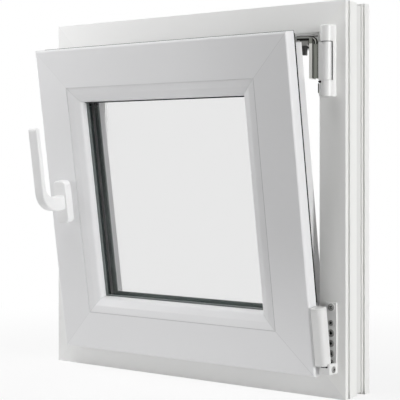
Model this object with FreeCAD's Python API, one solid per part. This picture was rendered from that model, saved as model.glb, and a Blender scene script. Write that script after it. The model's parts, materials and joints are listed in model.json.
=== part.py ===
import FreeCAD
import Part
import math
import os

# Tilt and turn window in white PVC, seen from the room.
# X runs along the window with the hinges at +X, Y runs from the room to the outside, Z is up.
# The origin is on the frame's bottom face, in the middle of the land between its front groove and
# its anchor channel. The sash stands open in its tilted position.

# Frame
FRAME_WIDTH = 600.0
FRAME_HEIGHT = 600.0
FRAME_DEPTH = 70.0
FRAME_FACE = 47.0
FRAME_FACE_ROUND = 2.5
FRAME_REBATE_FLOOR = 44.0
FRAME_REBATE_LIP_DEPTH = 11.0
FRAME_LEG_HEIGHT = 67.0
FRAME_LEG_DEPTH = 20.0
FRAME_LEG_BEVEL = 3.0
FRAME_LEG_SLOPE = 8.0
FRAME_LEG_ROUND = 1.5
DRAIN_CHANNEL_WIDTH = 7.0
DRAIN_CHANNEL_DEPTH = 3.0

# Slots in the outside of the sill that let water out
DRAIN_SLOT_LENGTH = 28.0
DRAIN_SLOT_HEIGHT = 5.0
DRAIN_SLOT_DEPTH = 4.0
DRAIN_SLOT_LOW = 22.0
DRAIN_SLOT_OFFSET = 170.0

# Grooves along the frame's outer edge
CLIP_GROOVE_WIDTH = 5.0
CLIP_GROOVE_DEPTH = 4.0
CLIP_GROOVE_LIP = 1.3
CLIP_GROOVE_UNDERCUT = 1.5
FRONT_CLIP_GROOVE_START = 8.0
FRONT_LAND_WIDTH = 8.0
REAR_LAND_WIDTH = 13.0
ANCHOR_CHANNEL_DEPTH = 1.0
ANCHOR_GROOVE_WIDTH = 16.0
ANCHOR_GROOVE_DEPTH = 4.0
ANCHOR_HOOK_THICK = 2.0
ANCHOR_HOOK_SET_BACK = 1.5

# Sash, measured inward from the edge of its flange and back from its face
SASH_OVERLAP = 7.0
SASH_PROUD = 24.0
SASH_FACE = 66.0
SASH_SIGHT = 92.5
SASH_EDGE_ROUND = 4.0
FLANGE_REACH = 19.0
FLANGE_DEPTH = 20.0
FLANGE_ROUND = 0.6
HARDWARE_AXIS = 13.0
HARDWARE_GROOVE_WIDTH = 16.0
HARDWARE_GROOVE_DEPTH = 3.0
RAIL_GROOVE_WIDTH = 12.0
RAIL_GROOVE_DEPTH = 8.0
SASH_SEAT_DEPTH = 50.0
SASH_BACK_GAP = 0.6
SASH_LEG_SLOPE = 5.0
SASH_BACK_BEVEL = 2.5
SASH_LEG_ROUND = 1.0

# Tilt: air left behind the top of the sash's body at the room face, and the axis it tilts about
TILT_AIR = 27.4
TILT_AXIS_HEIGHT = 50.0
TILT_AXIS_BACK = 27.0

# Glazing, depths measured back from the sash face
BEAD_SET_BACK = 0.8
BEAD_EDGE_ROUND = 0.5
BEAD_FLAT = 12.0
BEAD_FLAT_DROP = 1.4
BEAD_SHOULDER_DROP = 4.0
BEAD_NOSE_SLOPE = 2.0
BEAD_CROWN_ROUND = 6.5
BEAD_NOSE_DEPTH = 15.0
BEAD_NOSE_THICK = 2.5
GLASS_FACE_DEPTH = 22.0
PANE = 4.0
GLASS_CAVITY = 16.0
GLASS_EDGE_PLAY = 5.0
EDGE_SEAL = 5.0
SPACER_HEIGHT = 7.0
GASKET_SEAT = 6.0
GASKET_NOSE = 2.0

# Seals between sash and frame
SASH_SEAL_START = 1.0
SASH_SEAL_WIDTH = 5.0
SASH_SEAL_THICK = 3.2
SASH_SEAL_PRESS_GAP = 0.3
FRAME_SEAL_START = 58.0
FRAME_SEAL_WIDTH = 6.0
FRAME_SEAL_THICK = 3.4
SEAL_NOSE_ROUND = 1.0

# Handle
HANDLE_BACKSET = 38.5
ROSETTE_WIDTH = 28.0
ROSETTE_HEIGHT = 73.0
ROSETTE_DEPTH = 14.0
ROSETTE_ROUND = 9.0
ROSETTE_EDGE_ROUND = 2.0
GRIP_LENGTH = 133.0
GRIP_WIDTH = 20.0
GRIP_THICK = 9.0
GRIP_STAND_OFF = 63.0
NECK_HEIGHT = 24.0
NECK_BEND = 36.0
NECK_INNER_BEND = 22.0
GRIP_TIP_ROUND = 4.0
GRIP_EDGE_ROUND = 2.5

# Hinges
HINGE_AXIS_INSET = 26.5
HINGE_AXIS_PROUD = 10.2
HINGE_PIN_RADIUS = 3.5
HINGE_BORE_PLAY = 0.2
BEARING_TOP_GAP = 37.0
BEARING_HEIGHT = 108.0
BEARING_END_HEIGHT = 24.5
BEARING_RADIUS = 10.0
BEARING_END_BEVEL = 1.2
BEARING_BACK_THICK = 1.4
BEARING_WALL_THICK = 1.5
BEARING_WALL_DEPTH = 8.6
KNUCKLE_RADIUS = 8.0
KNUCKLE_GAP = 0.6
KNUCKLE_TAIL_REACH = 13.5
KNUCKLE_TAIL_FRONT = 2.0
KNUCKLE_TAIL_ROUND = 1.5

# Stay arm between the top bearing and the sash
STAY_LENGTH = 200.0
STAY_WIDTH = 16.0
STAY_THICK = 2.5
STAY_END_ROUND = 6.0
STAY_TOP_GAP = 52.5
LEAF_LOW_GAP = 3.0
LEAF_REACH = 27.6
LEAF_THICK = 3.0
LEAF_INSET = 5.0
LEAF_ROOT = 3.0
LEAF_RIM_WIDTH = 5.0
LEAF_RIM_DEPTH = 3.0
LEAF_KNUCKLE_GAP = 1.5
LEAF_CORNER_ROUND = 6.0
STAY_BLOCK_START = 31.5
STAY_BLOCK_LENGTH = 13.0
STAY_BLOCK_WIDTH = 12.0
STAY_BLOCK_HEIGHT = 11.0
STAY_BUFFER_LENGTH = 6.0
STAY_BUFFER_HEIGHT = 14.0
STAY_STUD_RADIUS = 4.0
RAIL_SLOT_PLAY = 0.7
RAIL_SLOT_OVERRUN = 6.0

# Corner hinge at the bottom
CORNER_BLOCK_LOW = 39.0
CORNER_BLOCK_HEIGHT = 9.5
CORNER_BLOCK_PROUD = 21.0
CORNER_BLOCK_SASH_GAP = 6.5
CORNER_BLOCK_ROUND = 1.5
CORNER_CHEEK_THICK = 4.0
CORNER_CHEEK_HEIGHT = 6.5
CORNER_PLATE_INSET = 14.5
CORNER_PLATE_THICK = 3.0
CORNER_PLATE_HEIGHT = 96.5
CORNER_PLATE_WIDTH = 19.0
CORNER_SLOT_WIDTH = 6.0
CORNER_SLOT_LENGTH = 8.0
CORNER_SLOT_FIRST = 4.2
CORNER_SLOT_PITCH = 15.4
CORNER_SLOT_COUNT = 5
CORNER_SLOT_EDGE = 9.0
CORNER_PIN_SEAT = 7.0
CORNER_PIN_REACH = 9.0
CORNER_BORE_RADIUS = 6.0
CORNER_BORE_DEPTH = 12.0
CORNER_COVER_LOW = 58.5
CORNER_COVER_HEIGHT = 86.0
CORNER_COVER_WIDTH = 18.5
CORNER_COVER_SASH_GAP = 2.4
CORNER_COVER_ROUND = 8.0
CORNER_COVER_EDGE_ROUND = 1.0
CORNER_COVER_PROUD = 1.0
CORNER_COVER_BACK_GAP = 5.5
CORNER_COVER_GROOVE_DEPTH = 6.0

# Sash fittings
FACEPLATE_THICK = 3.0
FACEPLATE_END_GAP = 30.0
CAM_RADIUS = 4.5
CAM_HEIGHT = 7.0
CAM_INSET = 110.0
CAM_TRAVEL = 36.0
KEEP_LENGTH = 45.0
KEEP_PLATE_THICK = 1.2
KEEP_WALL_THICK = 2.5
KEEP_WALL_HEIGHT = 6.0
KEEP_BASE_WIDTH = 16.0
KEEP_SEAT_PLAY = 0.2
KEEP_CAM_PLAY = 1.2

FRONT_LAND_START = FRONT_CLIP_GROOVE_START + CLIP_GROOVE_WIDTH
ANCHOR_CHANNEL_START = FRONT_LAND_START + FRONT_LAND_WIDTH
REAR_CLIP_GROOVE_START = FRAME_DEPTH - REAR_LAND_WIDTH - CLIP_GROOVE_WIDTH
ANCHOR_CHANNEL_END = REAR_CLIP_GROOVE_START - ANCHOR_HOOK_THICK
ANCHOR_GROOVE_START = ANCHOR_CHANNEL_END - ANCHOR_GROOVE_WIDTH
ROOM_FACE = -(FRONT_LAND_START + FRONT_LAND_WIDTH / 2)
SASH_MARGIN = FRAME_FACE - SASH_OVERLAP
SASH_WIDTH = FRAME_WIDTH - 2 * SASH_MARGIN
SASH_HEIGHT = FRAME_HEIGHT - 2 * SASH_MARGIN
SASH_DEPTH = FRAME_DEPTH - FRAME_LEG_DEPTH - FRAME_SEAL_THICK - SASH_BACK_GAP + SASH_PROUD
BODY_TOP = SASH_MARGIN + SASH_HEIGHT - FLANGE_REACH
TILT_OPENING = SASH_DEPTH - SASH_PROUD + TILT_AIR
TILT_DEG = math.degrees(math.asin(TILT_OPENING / (BODY_TOP - TILT_AXIS_HEIGHT)))
SASH_FACE_Y = ROOM_FACE - SASH_PROUD
HINGE_X = FRAME_WIDTH / 2 - HINGE_AXIS_INSET
HINGE_Y = ROOM_FACE - HINGE_AXIS_PROUD
CORNER_PLATE_RIGHT = FRAME_WIDTH / 2 - CORNER_PLATE_INSET
GROOVE_CENTRE = FLANGE_DEPTH + HARDWARE_AXIS

UP = FreeCAD.Vector(0, 0, 1)
BACK = FreeCAD.Vector(0, 1, 0)
ACROSS = FreeCAD.Vector(1, 0, 0)
ORIGIN = FreeCAD.Vector(0, 0, 0)
FLAT = 0.01


def export(name, shape):
    """Write one piece to its own file."""
    shape.exportStep(os.path.join("parts", name + ".step"))


def rounded_wire(corners, place):
    """Closed wire through corners (a, b, radius), its arcs tangent to the lines.

    The function place maps a point (a, b) of the outline to space.
    """
    count = len(corners)
    stretches = []
    for i, (a, b, radius) in enumerate(corners):
        here = FreeCAD.Vector(a, b, 0)
        if radius == 0:
            stretches.append((here, None, here))
            continue
        before = FreeCAD.Vector(*corners[i - 1][:2], 0) - here
        after = FreeCAD.Vector(*corners[(i + 1) % count][:2], 0) - here
        before.normalize()
        after.normalize()
        half = before.getAngle(after) / 2
        reach = radius / math.tan(half)
        middle = before + after
        middle.normalize()
        crown = here + middle * (radius / math.sin(half) - radius)
        stretches.append((here + before * reach, crown, here + after * reach))
    edges = []
    for i, (start, crown, end) in enumerate(stretches):
        if crown is not None:
            edges.append(Part.Arc(place(start), place(crown), place(end)).toShape())
        following = stretches[(i + 1) % count][0]
        if (following - end).Length > 1e-6:
            edges.append(Part.makeLine(place(end), place(following)))
    return Part.Wire(edges)


def profile_bar(corners, length, depth_start):
    """Straight bar of a profile whose corners are (inward, back): centred on X, outer edge at Z = 0."""
    def place(v):
        return FreeCAD.Vector(-length / 2, depth_start + v.y, v.x)

    return Part.Face(rounded_wire(corners, place)).extrude(ACROSS * length)


def mitred_bar(corners, length, depth_start):
    """The bar cut at 45 degrees at both ends, by a wedge that starts at the outer edge's corners."""
    reach = length / 2
    points = [
        FreeCAD.Vector(-reach, -FRAME_DEPTH * 2, 0),
        FreeCAD.Vector(reach, -FRAME_DEPTH * 2, 0),
        FreeCAD.Vector(0, -FRAME_DEPTH * 2, reach),
        FreeCAD.Vector(-reach, -FRAME_DEPTH * 2, 0),
    ]
    wedge = Part.Face(Part.makePolygon(points)).extrude(BACK * FRAME_DEPTH * 4)
    return profile_bar(corners, length, depth_start).common(wedge).removeSplitter()


def ring_sides(corners, width, height, depth_start, low):
    """The four mitred sides of a rectangle whose outer edge is width by height and starts at Z = low."""
    middle = low + height / 2
    bottom = mitred_bar(corners, width, depth_start)
    bottom.translate(UP * low)
    top = mitred_bar(corners, width, depth_start)
    top.rotate(ORIGIN, BACK, 180)
    top.translate(UP * (low + height))
    left = mitred_bar(corners, height, depth_start)
    left.rotate(ORIGIN, BACK, 90)
    left.translate(FreeCAD.Vector(-width / 2, 0, middle))
    right = mitred_bar(corners, height, depth_start)
    right.rotate(ORIGIN, BACK, -90)
    right.translate(FreeCAD.Vector(width / 2, 0, middle))
    return {"bottom": bottom, "top": top, "left": left, "right": right}


def closed_ring(corners, width, height, depth_start, low):
    """The four sides joined into one ring."""
    sides = list(ring_sides(corners, width, height, depth_start, low).values())
    return sides[0].multiFuse(sides[1:]).removeSplitter()


def block(width, depth, height, x, y, z):
    """Box centred on x, from y to y + depth and from z to z + height."""
    return Part.makeBox(width, depth, height, FreeCAD.Vector(x - width / 2, y, z))


def tilted(shape):
    """Swing a piece of the closed sash about the tilt axis into its open position."""
    axis = FreeCAD.Vector(0, ROOM_FACE + TILT_AXIS_BACK, TILT_AXIS_HEIGHT)
    moved = shape.copy()
    moved.rotate(axis, ACROSS, TILT_DEG)
    return moved


def sash_ring(corners, inset):
    """Mitred sides of a profile in the closed sash, its outer edge inset from the flange's edge."""
    return ring_sides(
        corners, SASH_WIDTH - 2 * inset, SASH_HEIGHT - 2 * inset, SASH_FACE_Y, SASH_MARGIN + inset
    )


def sash_loop(corners, inset):
    """One closed ring of a profile in the closed sash."""
    return closed_ring(
        corners, SASH_WIDTH - 2 * inset, SASH_HEIGHT - 2 * inset, SASH_FACE_Y, SASH_MARGIN + inset
    )


def frame_profile():
    """Room face, rebate with drain channel, outer leg, and the grooves of the outer edge."""
    leg = FRAME_DEPTH - FRAME_LEG_DEPTH
    corners = [
        (0, 0, 0),
        (FRAME_FACE, 0, FRAME_FACE_ROUND),
        (FRAME_FACE, FRAME_REBATE_LIP_DEPTH, 0),
        (FRAME_REBATE_FLOOR, FRAME_REBATE_LIP_DEPTH + FRAME_FACE - FRAME_REBATE_FLOOR, 0),
        (FRAME_REBATE_FLOOR, leg - DRAIN_CHANNEL_WIDTH, 0),
        (FRAME_REBATE_FLOOR - DRAIN_CHANNEL_DEPTH, leg - DRAIN_CHANNEL_WIDTH + DRAIN_CHANNEL_DEPTH, 0),
        (FRAME_REBATE_FLOOR - DRAIN_CHANNEL_DEPTH, leg, 0),
        (FRAME_LEG_HEIGHT - FRAME_LEG_BEVEL, leg, 0),
        (FRAME_LEG_HEIGHT, leg + FRAME_LEG_BEVEL, FRAME_LEG_ROUND),
        (FRAME_LEG_HEIGHT - FRAME_LEG_SLOPE, FRAME_DEPTH, FRAME_FACE_ROUND),
        (0, FRAME_DEPTH, 0),
    ]
    channel = [
        (ANCHOR_HOOK_SET_BACK, ANCHOR_CHANNEL_END, 0),
        (ANCHOR_GROOVE_DEPTH, ANCHOR_CHANNEL_END, 0),
        (ANCHOR_GROOVE_DEPTH, ANCHOR_GROOVE_START, 0),
        (ANCHOR_CHANNEL_DEPTH, ANCHOR_GROOVE_START, 0),
        (ANCHOR_CHANNEL_DEPTH, ANCHOR_CHANNEL_START, 0),
        (0, ANCHOR_CHANNEL_START, 0),
    ]
    rear_groove = clip_groove(REAR_CLIP_GROOVE_START, ANCHOR_HOOK_SET_BACK)
    return corners + rear_groove + channel + clip_groove(FRONT_CLIP_GROOVE_START, 0)


def clip_groove(start, front_set_back):
    """Groove with an undercut at its back, from its rear edge to its front edge."""
    end = start + CLIP_GROOVE_WIDTH
    return [
        (0, end, 0),
        (CLIP_GROOVE_LIP, end, 0),
        (CLIP_GROOVE_LIP, end + CLIP_GROOVE_UNDERCUT, 0),
        (CLIP_GROOVE_DEPTH, end + CLIP_GROOVE_UNDERCUT, 0),
        (CLIP_GROOVE_DEPTH, start, 0),
        (front_set_back, start, 0),
    ]


def sash_profile():
    """Face, glazing rebate, outer leg, body edge with the hardware groove, and the flange."""
    wide = HARDWARE_GROOVE_WIDTH / 2
    narrow = RAIL_GROOVE_WIDTH / 2
    shelf = FLANGE_REACH + HARDWARE_GROOVE_DEPTH
    bottom = shelf + RAIL_GROOVE_DEPTH
    return [
        (0, 0, SASH_EDGE_ROUND),
        (SASH_FACE, 0, 0),
        (SASH_FACE, SASH_SEAT_DEPTH, 0),
        (SASH_SIGHT, SASH_SEAT_DEPTH, SASH_LEG_ROUND),
        (SASH_SIGHT - SASH_LEG_SLOPE, SASH_DEPTH, FRAME_FACE_ROUND),
        (FLANGE_REACH + SASH_BACK_BEVEL, SASH_DEPTH, 0),
        (FLANGE_REACH, SASH_DEPTH - SASH_BACK_BEVEL, 0),
        (FLANGE_REACH, GROOVE_CENTRE + wide, 0),
        (shelf, GROOVE_CENTRE + wide, 0),
        (shelf, GROOVE_CENTRE + narrow, 0),
        (bottom, GROOVE_CENTRE + narrow, 0),
        (bottom, GROOVE_CENTRE - narrow, 0),
        (shelf, GROOVE_CENTRE - narrow, 0),
        (shelf, GROOVE_CENTRE - wide, 0),
        (FLANGE_REACH, GROOVE_CENTRE - wide, 0),
        (FLANGE_REACH, FLANGE_DEPTH, 0),
        (0, FLANGE_DEPTH, FLANGE_ROUND),
    ]


def rectangle(first, last, near, far):
    """Plain rectangular profile from first to last inward and from near to far back."""
    return [(first, near, 0), (last, near, 0), (last, far, 0), (first, far, 0)]


def seal_profile(width, root, nose):
    """Strip from its root in the profile to its rounded nose."""
    return [(0, root, 0), (width, root, 0), (width, nose, SEAL_NOSE_ROUND), (0, nose, SEAL_NOSE_ROUND)]


def build_frame():
    """Four mitred profiles, the sill with its drain slots, and the seal on their outer leg."""
    sides = ring_sides(frame_profile(), FRAME_WIDTH, FRAME_HEIGHT, ROOM_FACE, 0)
    sill = sides["bottom"]
    outside = ROOM_FACE + FRAME_DEPTH
    for x in (-DRAIN_SLOT_OFFSET, DRAIN_SLOT_OFFSET):
        front = outside - DRAIN_SLOT_DEPTH
        slot = block(DRAIN_SLOT_LENGTH, DRAIN_SLOT_DEPTH, DRAIN_SLOT_HEIGHT, x, front, DRAIN_SLOT_LOW)
        sill = sill.cut(slot)
    export("frame_sill", sill)
    export("frame_head", sides["top"])
    export("frame_jamb_handle_side", sides["left"])
    export("frame_jamb_hinge_side", sides["right"])
    leg_face = FRAME_DEPTH - FRAME_LEG_DEPTH
    seal = seal_profile(FRAME_SEAL_WIDTH, leg_face, leg_face - FRAME_SEAL_THICK)
    export(
        "frame_seal",
        closed_ring(
            seal,
            FRAME_WIDTH - 2 * FRAME_SEAL_START,
            FRAME_HEIGHT - 2 * FRAME_SEAL_START,
            ROOM_FACE,
            FRAME_SEAL_START,
        ),
    )


def build_sash():
    """Four mitred profiles and the seal behind their flange, pressed flat where it meets the sill."""
    sides = sash_ring(sash_profile(), 0)
    export("sash_bottom_rail", tilted(sides["bottom"]))
    export("sash_top_rail", tilted(sides["top"]))
    export("sash_stile_handle_side", tilted(sides["left"]))
    export("sash_stile_hinge_side", tilted(sides["right"]))
    seal = seal_profile(SASH_SEAL_WIDTH, FLANGE_DEPTH, FLANGE_DEPTH + SASH_SEAL_THICK)
    loose = tilted(sash_loop(seal, SASH_SEAL_START))
    pressed_flat = Part.makeBox(
        FRAME_WIDTH,
        FRAME_DEPTH,
        FRAME_HEIGHT,
        FreeCAD.Vector(-FRAME_WIDTH / 2, ROOM_FACE - SASH_SEAL_PRESS_GAP, 0),
    )
    export("sash_seal", loose.cut(pressed_flat))


def bead_profile():
    """Moulded face that falls from the sash face to its nose at the glass."""
    width = SASH_SIGHT - SASH_FACE
    shoulder = BEAD_SET_BACK + BEAD_FLAT_DROP
    return [
        (0, BEAD_SET_BACK, BEAD_EDGE_ROUND),
        (BEAD_FLAT, shoulder, BEAD_CROWN_ROUND),
        (width - BEAD_NOSE_SLOPE, shoulder + BEAD_SHOULDER_DROP, BEAD_CROWN_ROUND),
        (width, BEAD_NOSE_DEPTH, 0),
        (width, BEAD_NOSE_DEPTH + BEAD_NOSE_THICK, 0),
        (0, BEAD_NOSE_DEPTH + BEAD_NOSE_THICK, 0),
    ]


def build_glazing():
    """Beads, gaskets, two panes and the spacer with its edge seal."""
    beads = sash_ring(bead_profile(), SASH_FACE)
    export("glazing_bead_bottom", tilted(beads["bottom"]))
    export("glazing_bead_top", tilted(beads["top"]))
    export("glazing_bead_handle_side", tilted(beads["left"]))
    export("glazing_bead_hinge_side", tilted(beads["right"]))
    inner_face = GLASS_FACE_DEPTH
    cavity = inner_face + PANE
    outer_pane = cavity + GLASS_CAVITY
    outer_face = outer_pane + PANE
    gasket_width = GASKET_SEAT + GASKET_NOSE
    gasket_inset = SASH_SIGHT - GASKET_SEAT
    bead_back = BEAD_NOSE_DEPTH + BEAD_NOSE_THICK
    inner = rectangle(0, gasket_width, bead_back, inner_face)
    export("glazing_gasket_room_side", tilted(sash_loop(inner, gasket_inset)))
    outer = rectangle(0, gasket_width, outer_face, SASH_SEAT_DEPTH)
    export("glazing_gasket_outside", tilted(sash_loop(outer, gasket_inset)))
    glass_edge = SASH_FACE + GLASS_EDGE_PLAY
    glass_width = SASH_WIDTH - 2 * glass_edge
    glass_height = SASH_HEIGHT - 2 * glass_edge
    low = SASH_MARGIN + glass_edge
    room_pane = block(glass_width, PANE, glass_height, 0, SASH_FACE_Y + inner_face, low)
    export("glass_pane_room_side", tilted(room_pane))
    out_pane = block(glass_width, PANE, glass_height, 0, SASH_FACE_Y + outer_pane, low)
    export("glass_pane_outside", tilted(out_pane))
    sealant = rectangle(0, EDGE_SEAL, cavity, outer_pane)
    export("glass_edge_seal", tilted(sash_loop(sealant, glass_edge)))
    spacer = rectangle(0, SPACER_HEIGHT, cavity, outer_pane)
    export("glass_spacer", tilted(sash_loop(spacer, glass_edge + EDGE_SEAL)))


def build_handle():
    """Rosette on the stile and the lever that points up, as when the window is tilted."""
    x = -SASH_WIDTH / 2 + HANDLE_BACKSET
    middle = SASH_MARGIN + SASH_HEIGHT / 2
    rosette_corners = [
        (-ROSETTE_WIDTH / 2, -ROSETTE_HEIGHT / 2, ROSETTE_ROUND),
        (ROSETTE_WIDTH / 2, -ROSETTE_HEIGHT / 2, ROSETTE_ROUND),
        (ROSETTE_WIDTH / 2, ROSETTE_HEIGHT / 2, ROSETTE_ROUND),
        (-ROSETTE_WIDTH / 2, ROSETTE_HEIGHT / 2, ROSETTE_ROUND),
    ]
    wire = rounded_wire(
        rosette_corners, lambda v: FreeCAD.Vector(x + v.x, SASH_FACE_Y, middle + v.y)
    )
    rosette = Part.Face(wire).extrude(BACK * -ROSETTE_DEPTH)
    front = [e for e in rosette.Edges if e.BoundBox.YMax < SASH_FACE_Y - ROSETTE_DEPTH + FLAT]
    rosette = rosette.makeFillet(ROSETTE_EDGE_ROUND, front)
    export("handle_rosette", tilted(rosette))
    half_neck = NECK_HEIGHT / 2
    grip_back = GRIP_STAND_OFF - GRIP_THICK
    lever_corners = [
        (-ROSETTE_DEPTH, -half_neck, 0),
        (-GRIP_STAND_OFF, -half_neck, NECK_BEND),
        (-GRIP_STAND_OFF, GRIP_LENGTH, GRIP_TIP_ROUND),
        (-grip_back, GRIP_LENGTH, GRIP_TIP_ROUND),
        (-grip_back, half_neck, NECK_INNER_BEND),
        (-ROSETTE_DEPTH, half_neck, 0),
    ]
    wire = rounded_wire(
        lever_corners,
        lambda v: FreeCAD.Vector(x - GRIP_WIDTH / 2, SASH_FACE_Y + v.x, middle + v.y),
    )
    lever = Part.Face(wire).extrude(ACROSS * GRIP_WIDTH)
    seat = SASH_FACE_Y - ROSETTE_DEPTH
    outline = [e for e in lever.Edges if e.BoundBox.XLength < FLAT and e.BoundBox.YMin < seat - FLAT]
    lever = lever.makeFillet(GRIP_EDGE_ROUND, outline)
    export("handle_lever", tilted(lever))


def hinge_barrel(radius, low, height):
    """Cylinder on the hinge axis with the pin's bore."""
    centre = FreeCAD.Vector(HINGE_X, HINGE_Y, low)
    tube = Part.makeCylinder(radius, height, centre, UP)
    bore = Part.makeCylinder(HINGE_PIN_RADIUS + HINGE_BORE_PLAY, height, centre, UP)
    return tube, bore


def bearing_end(start, outer_end):
    """End of the bracket: a barrel that runs back to the frame's face, its outer rim bevelled."""
    tube, bore = hinge_barrel(BEARING_RADIUS, start, BEARING_END_HEIGHT)
    web = block(2 * BEARING_RADIUS, HINGE_AXIS_PROUD, BEARING_END_HEIGHT, HINGE_X, HINGE_Y, start)
    body = tube.fuse(web).removeSplitter()
    rim = [
        e for e in body.Edges
        if e.BoundBox.ZLength < FLAT
        and abs(e.CenterOfMass.z - outer_end) < FLAT
        and e.CenterOfMass.y < ROOM_FACE - FLAT
    ]
    return body.makeChamfer(BEARING_END_BEVEL, rim).cut(bore)


def build_top_bearing():
    """Bracket on the frame: two ends joined by a back and a side wall round the knuckle. And the pin."""
    top = FRAME_HEIGHT - BEARING_TOP_GAP
    low = top - BEARING_HEIGHT
    inner_low = low + BEARING_END_HEIGHT
    inner_height = BEARING_HEIGHT - 2 * BEARING_END_HEIGHT
    back = Part.makeBox(
        BEARING_RADIUS,
        BEARING_BACK_THICK,
        inner_height,
        FreeCAD.Vector(HINGE_X, ROOM_FACE - BEARING_BACK_THICK, inner_low),
    )
    wall_x = HINGE_X + BEARING_RADIUS - BEARING_WALL_THICK
    wall = Part.makeBox(
        BEARING_WALL_THICK,
        BEARING_WALL_DEPTH,
        inner_height,
        FreeCAD.Vector(wall_x, ROOM_FACE - BEARING_WALL_DEPTH, inner_low),
    )
    ends = [bearing_end(low, low), bearing_end(inner_low + inner_height, top)]
    export("stay_bearing_bracket", back.multiFuse([wall, *ends]).removeSplitter())
    pin = Part.makeCylinder(
        HINGE_PIN_RADIUS, BEARING_HEIGHT, FreeCAD.Vector(HINGE_X, HINGE_Y, low), UP
    )
    export("stay_bearing_pin", pin)


def stay_angle():
    """Angle at which the arm's far end lies over the hardware groove of the tilted sash."""
    swing = HINGE_Y - tilted_groove().Y
    offset = SASH_FACE_Y + GROOVE_CENTRE - HINGE_Y
    radius = math.hypot(STAY_LENGTH, offset)
    return math.degrees(math.atan2(offset, STAY_LENGTH) + math.asin(swing / radius))


def tilted_groove():
    """Point on the axis of the top hardware groove, at the outside of the tilted sash's body."""
    return tilted(Part.Vertex(FreeCAD.Vector(0, SASH_FACE_Y + GROOVE_CENTRE, BODY_TOP)))


def stay_end():
    """Where the arm's stud stands when the sash is tilted."""
    closed = FreeCAD.Vector(HINGE_X - STAY_LENGTH, SASH_FACE_Y + GROOVE_CENTRE, 0)
    return swung(Part.Vertex(closed), stay_angle()).Point


def swung(shape, angle):
    """Swing the stay about the hinge axis into the room."""
    moved = shape.copy()
    moved.rotate(FreeCAD.Vector(HINGE_X, HINGE_Y, 0), UP, angle)
    return moved


def stay_knuckle(start, height):
    """Knuckle on the pin, drawn out to a tail that holds the leaf."""
    tube, bore = hinge_barrel(KNUCKLE_RADIUS, start, height)
    tail_angle = math.atan2(KNUCKLE_TAIL_FRONT, KNUCKLE_TAIL_REACH)
    tangent = tail_angle - math.acos(KNUCKLE_RADIUS / math.hypot(KNUCKLE_TAIL_FRONT, KNUCKLE_TAIL_REACH))
    corners = [
        (0, 0, 0),
        (KNUCKLE_RADIUS * math.cos(tangent), KNUCKLE_RADIUS * math.sin(tangent), 0),
        (KNUCKLE_TAIL_REACH, KNUCKLE_TAIL_FRONT, KNUCKLE_TAIL_ROUND),
        (KNUCKLE_TAIL_REACH, LEAF_INSET, 0),
        (0, LEAF_INSET, 0),
    ]
    wire = rounded_wire(corners, lambda v: FreeCAD.Vector(HINGE_X - v.x, HINGE_Y + v.y, start))
    tail = Part.Face(wire).extrude(UP * height)
    leaf_seat = Part.makeBox(
        KNUCKLE_RADIUS,
        KNUCKLE_RADIUS,
        height,
        FreeCAD.Vector(HINGE_X - LEAF_ROOT - KNUCKLE_RADIUS, HINGE_Y + LEAF_INSET, start),
    )
    return tube.fuse(tail).removeSplitter().cut(leaf_seat).cut(bore)


def stay_leaf(start, height, arm_low, arm_back):
    """Pressing that leaves the knuckle's tail, with a rim at its far edge, and carries the arm."""
    low = start + LEAF_LOW_GAP
    beside = KNUCKLE_TAIL_REACH + LEAF_KNUCKLE_GAP
    corners = [
        (LEAF_ROOT, low, 0),
        (LEAF_REACH, low, 0),
        (LEAF_REACH, arm_low, 0),
        (beside, arm_low, LEAF_CORNER_ROUND),
        (beside, start + height, 0),
        (LEAF_ROOT, start + height, 0),
    ]
    front = HINGE_Y + LEAF_INSET
    wire = rounded_wire(corners, lambda v: FreeCAD.Vector(HINGE_X - v.x, front, v.y))
    plate = Part.Face(wire).extrude(BACK * LEAF_THICK)
    rim = Part.makeBox(
        LEAF_RIM_WIDTH,
        LEAF_RIM_DEPTH + arm_back - front,
        arm_low - low,
        FreeCAD.Vector(HINGE_X - LEAF_REACH, front - LEAF_RIM_DEPTH, low),
    )
    return plate.fuse(rim).removeSplitter()


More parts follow.
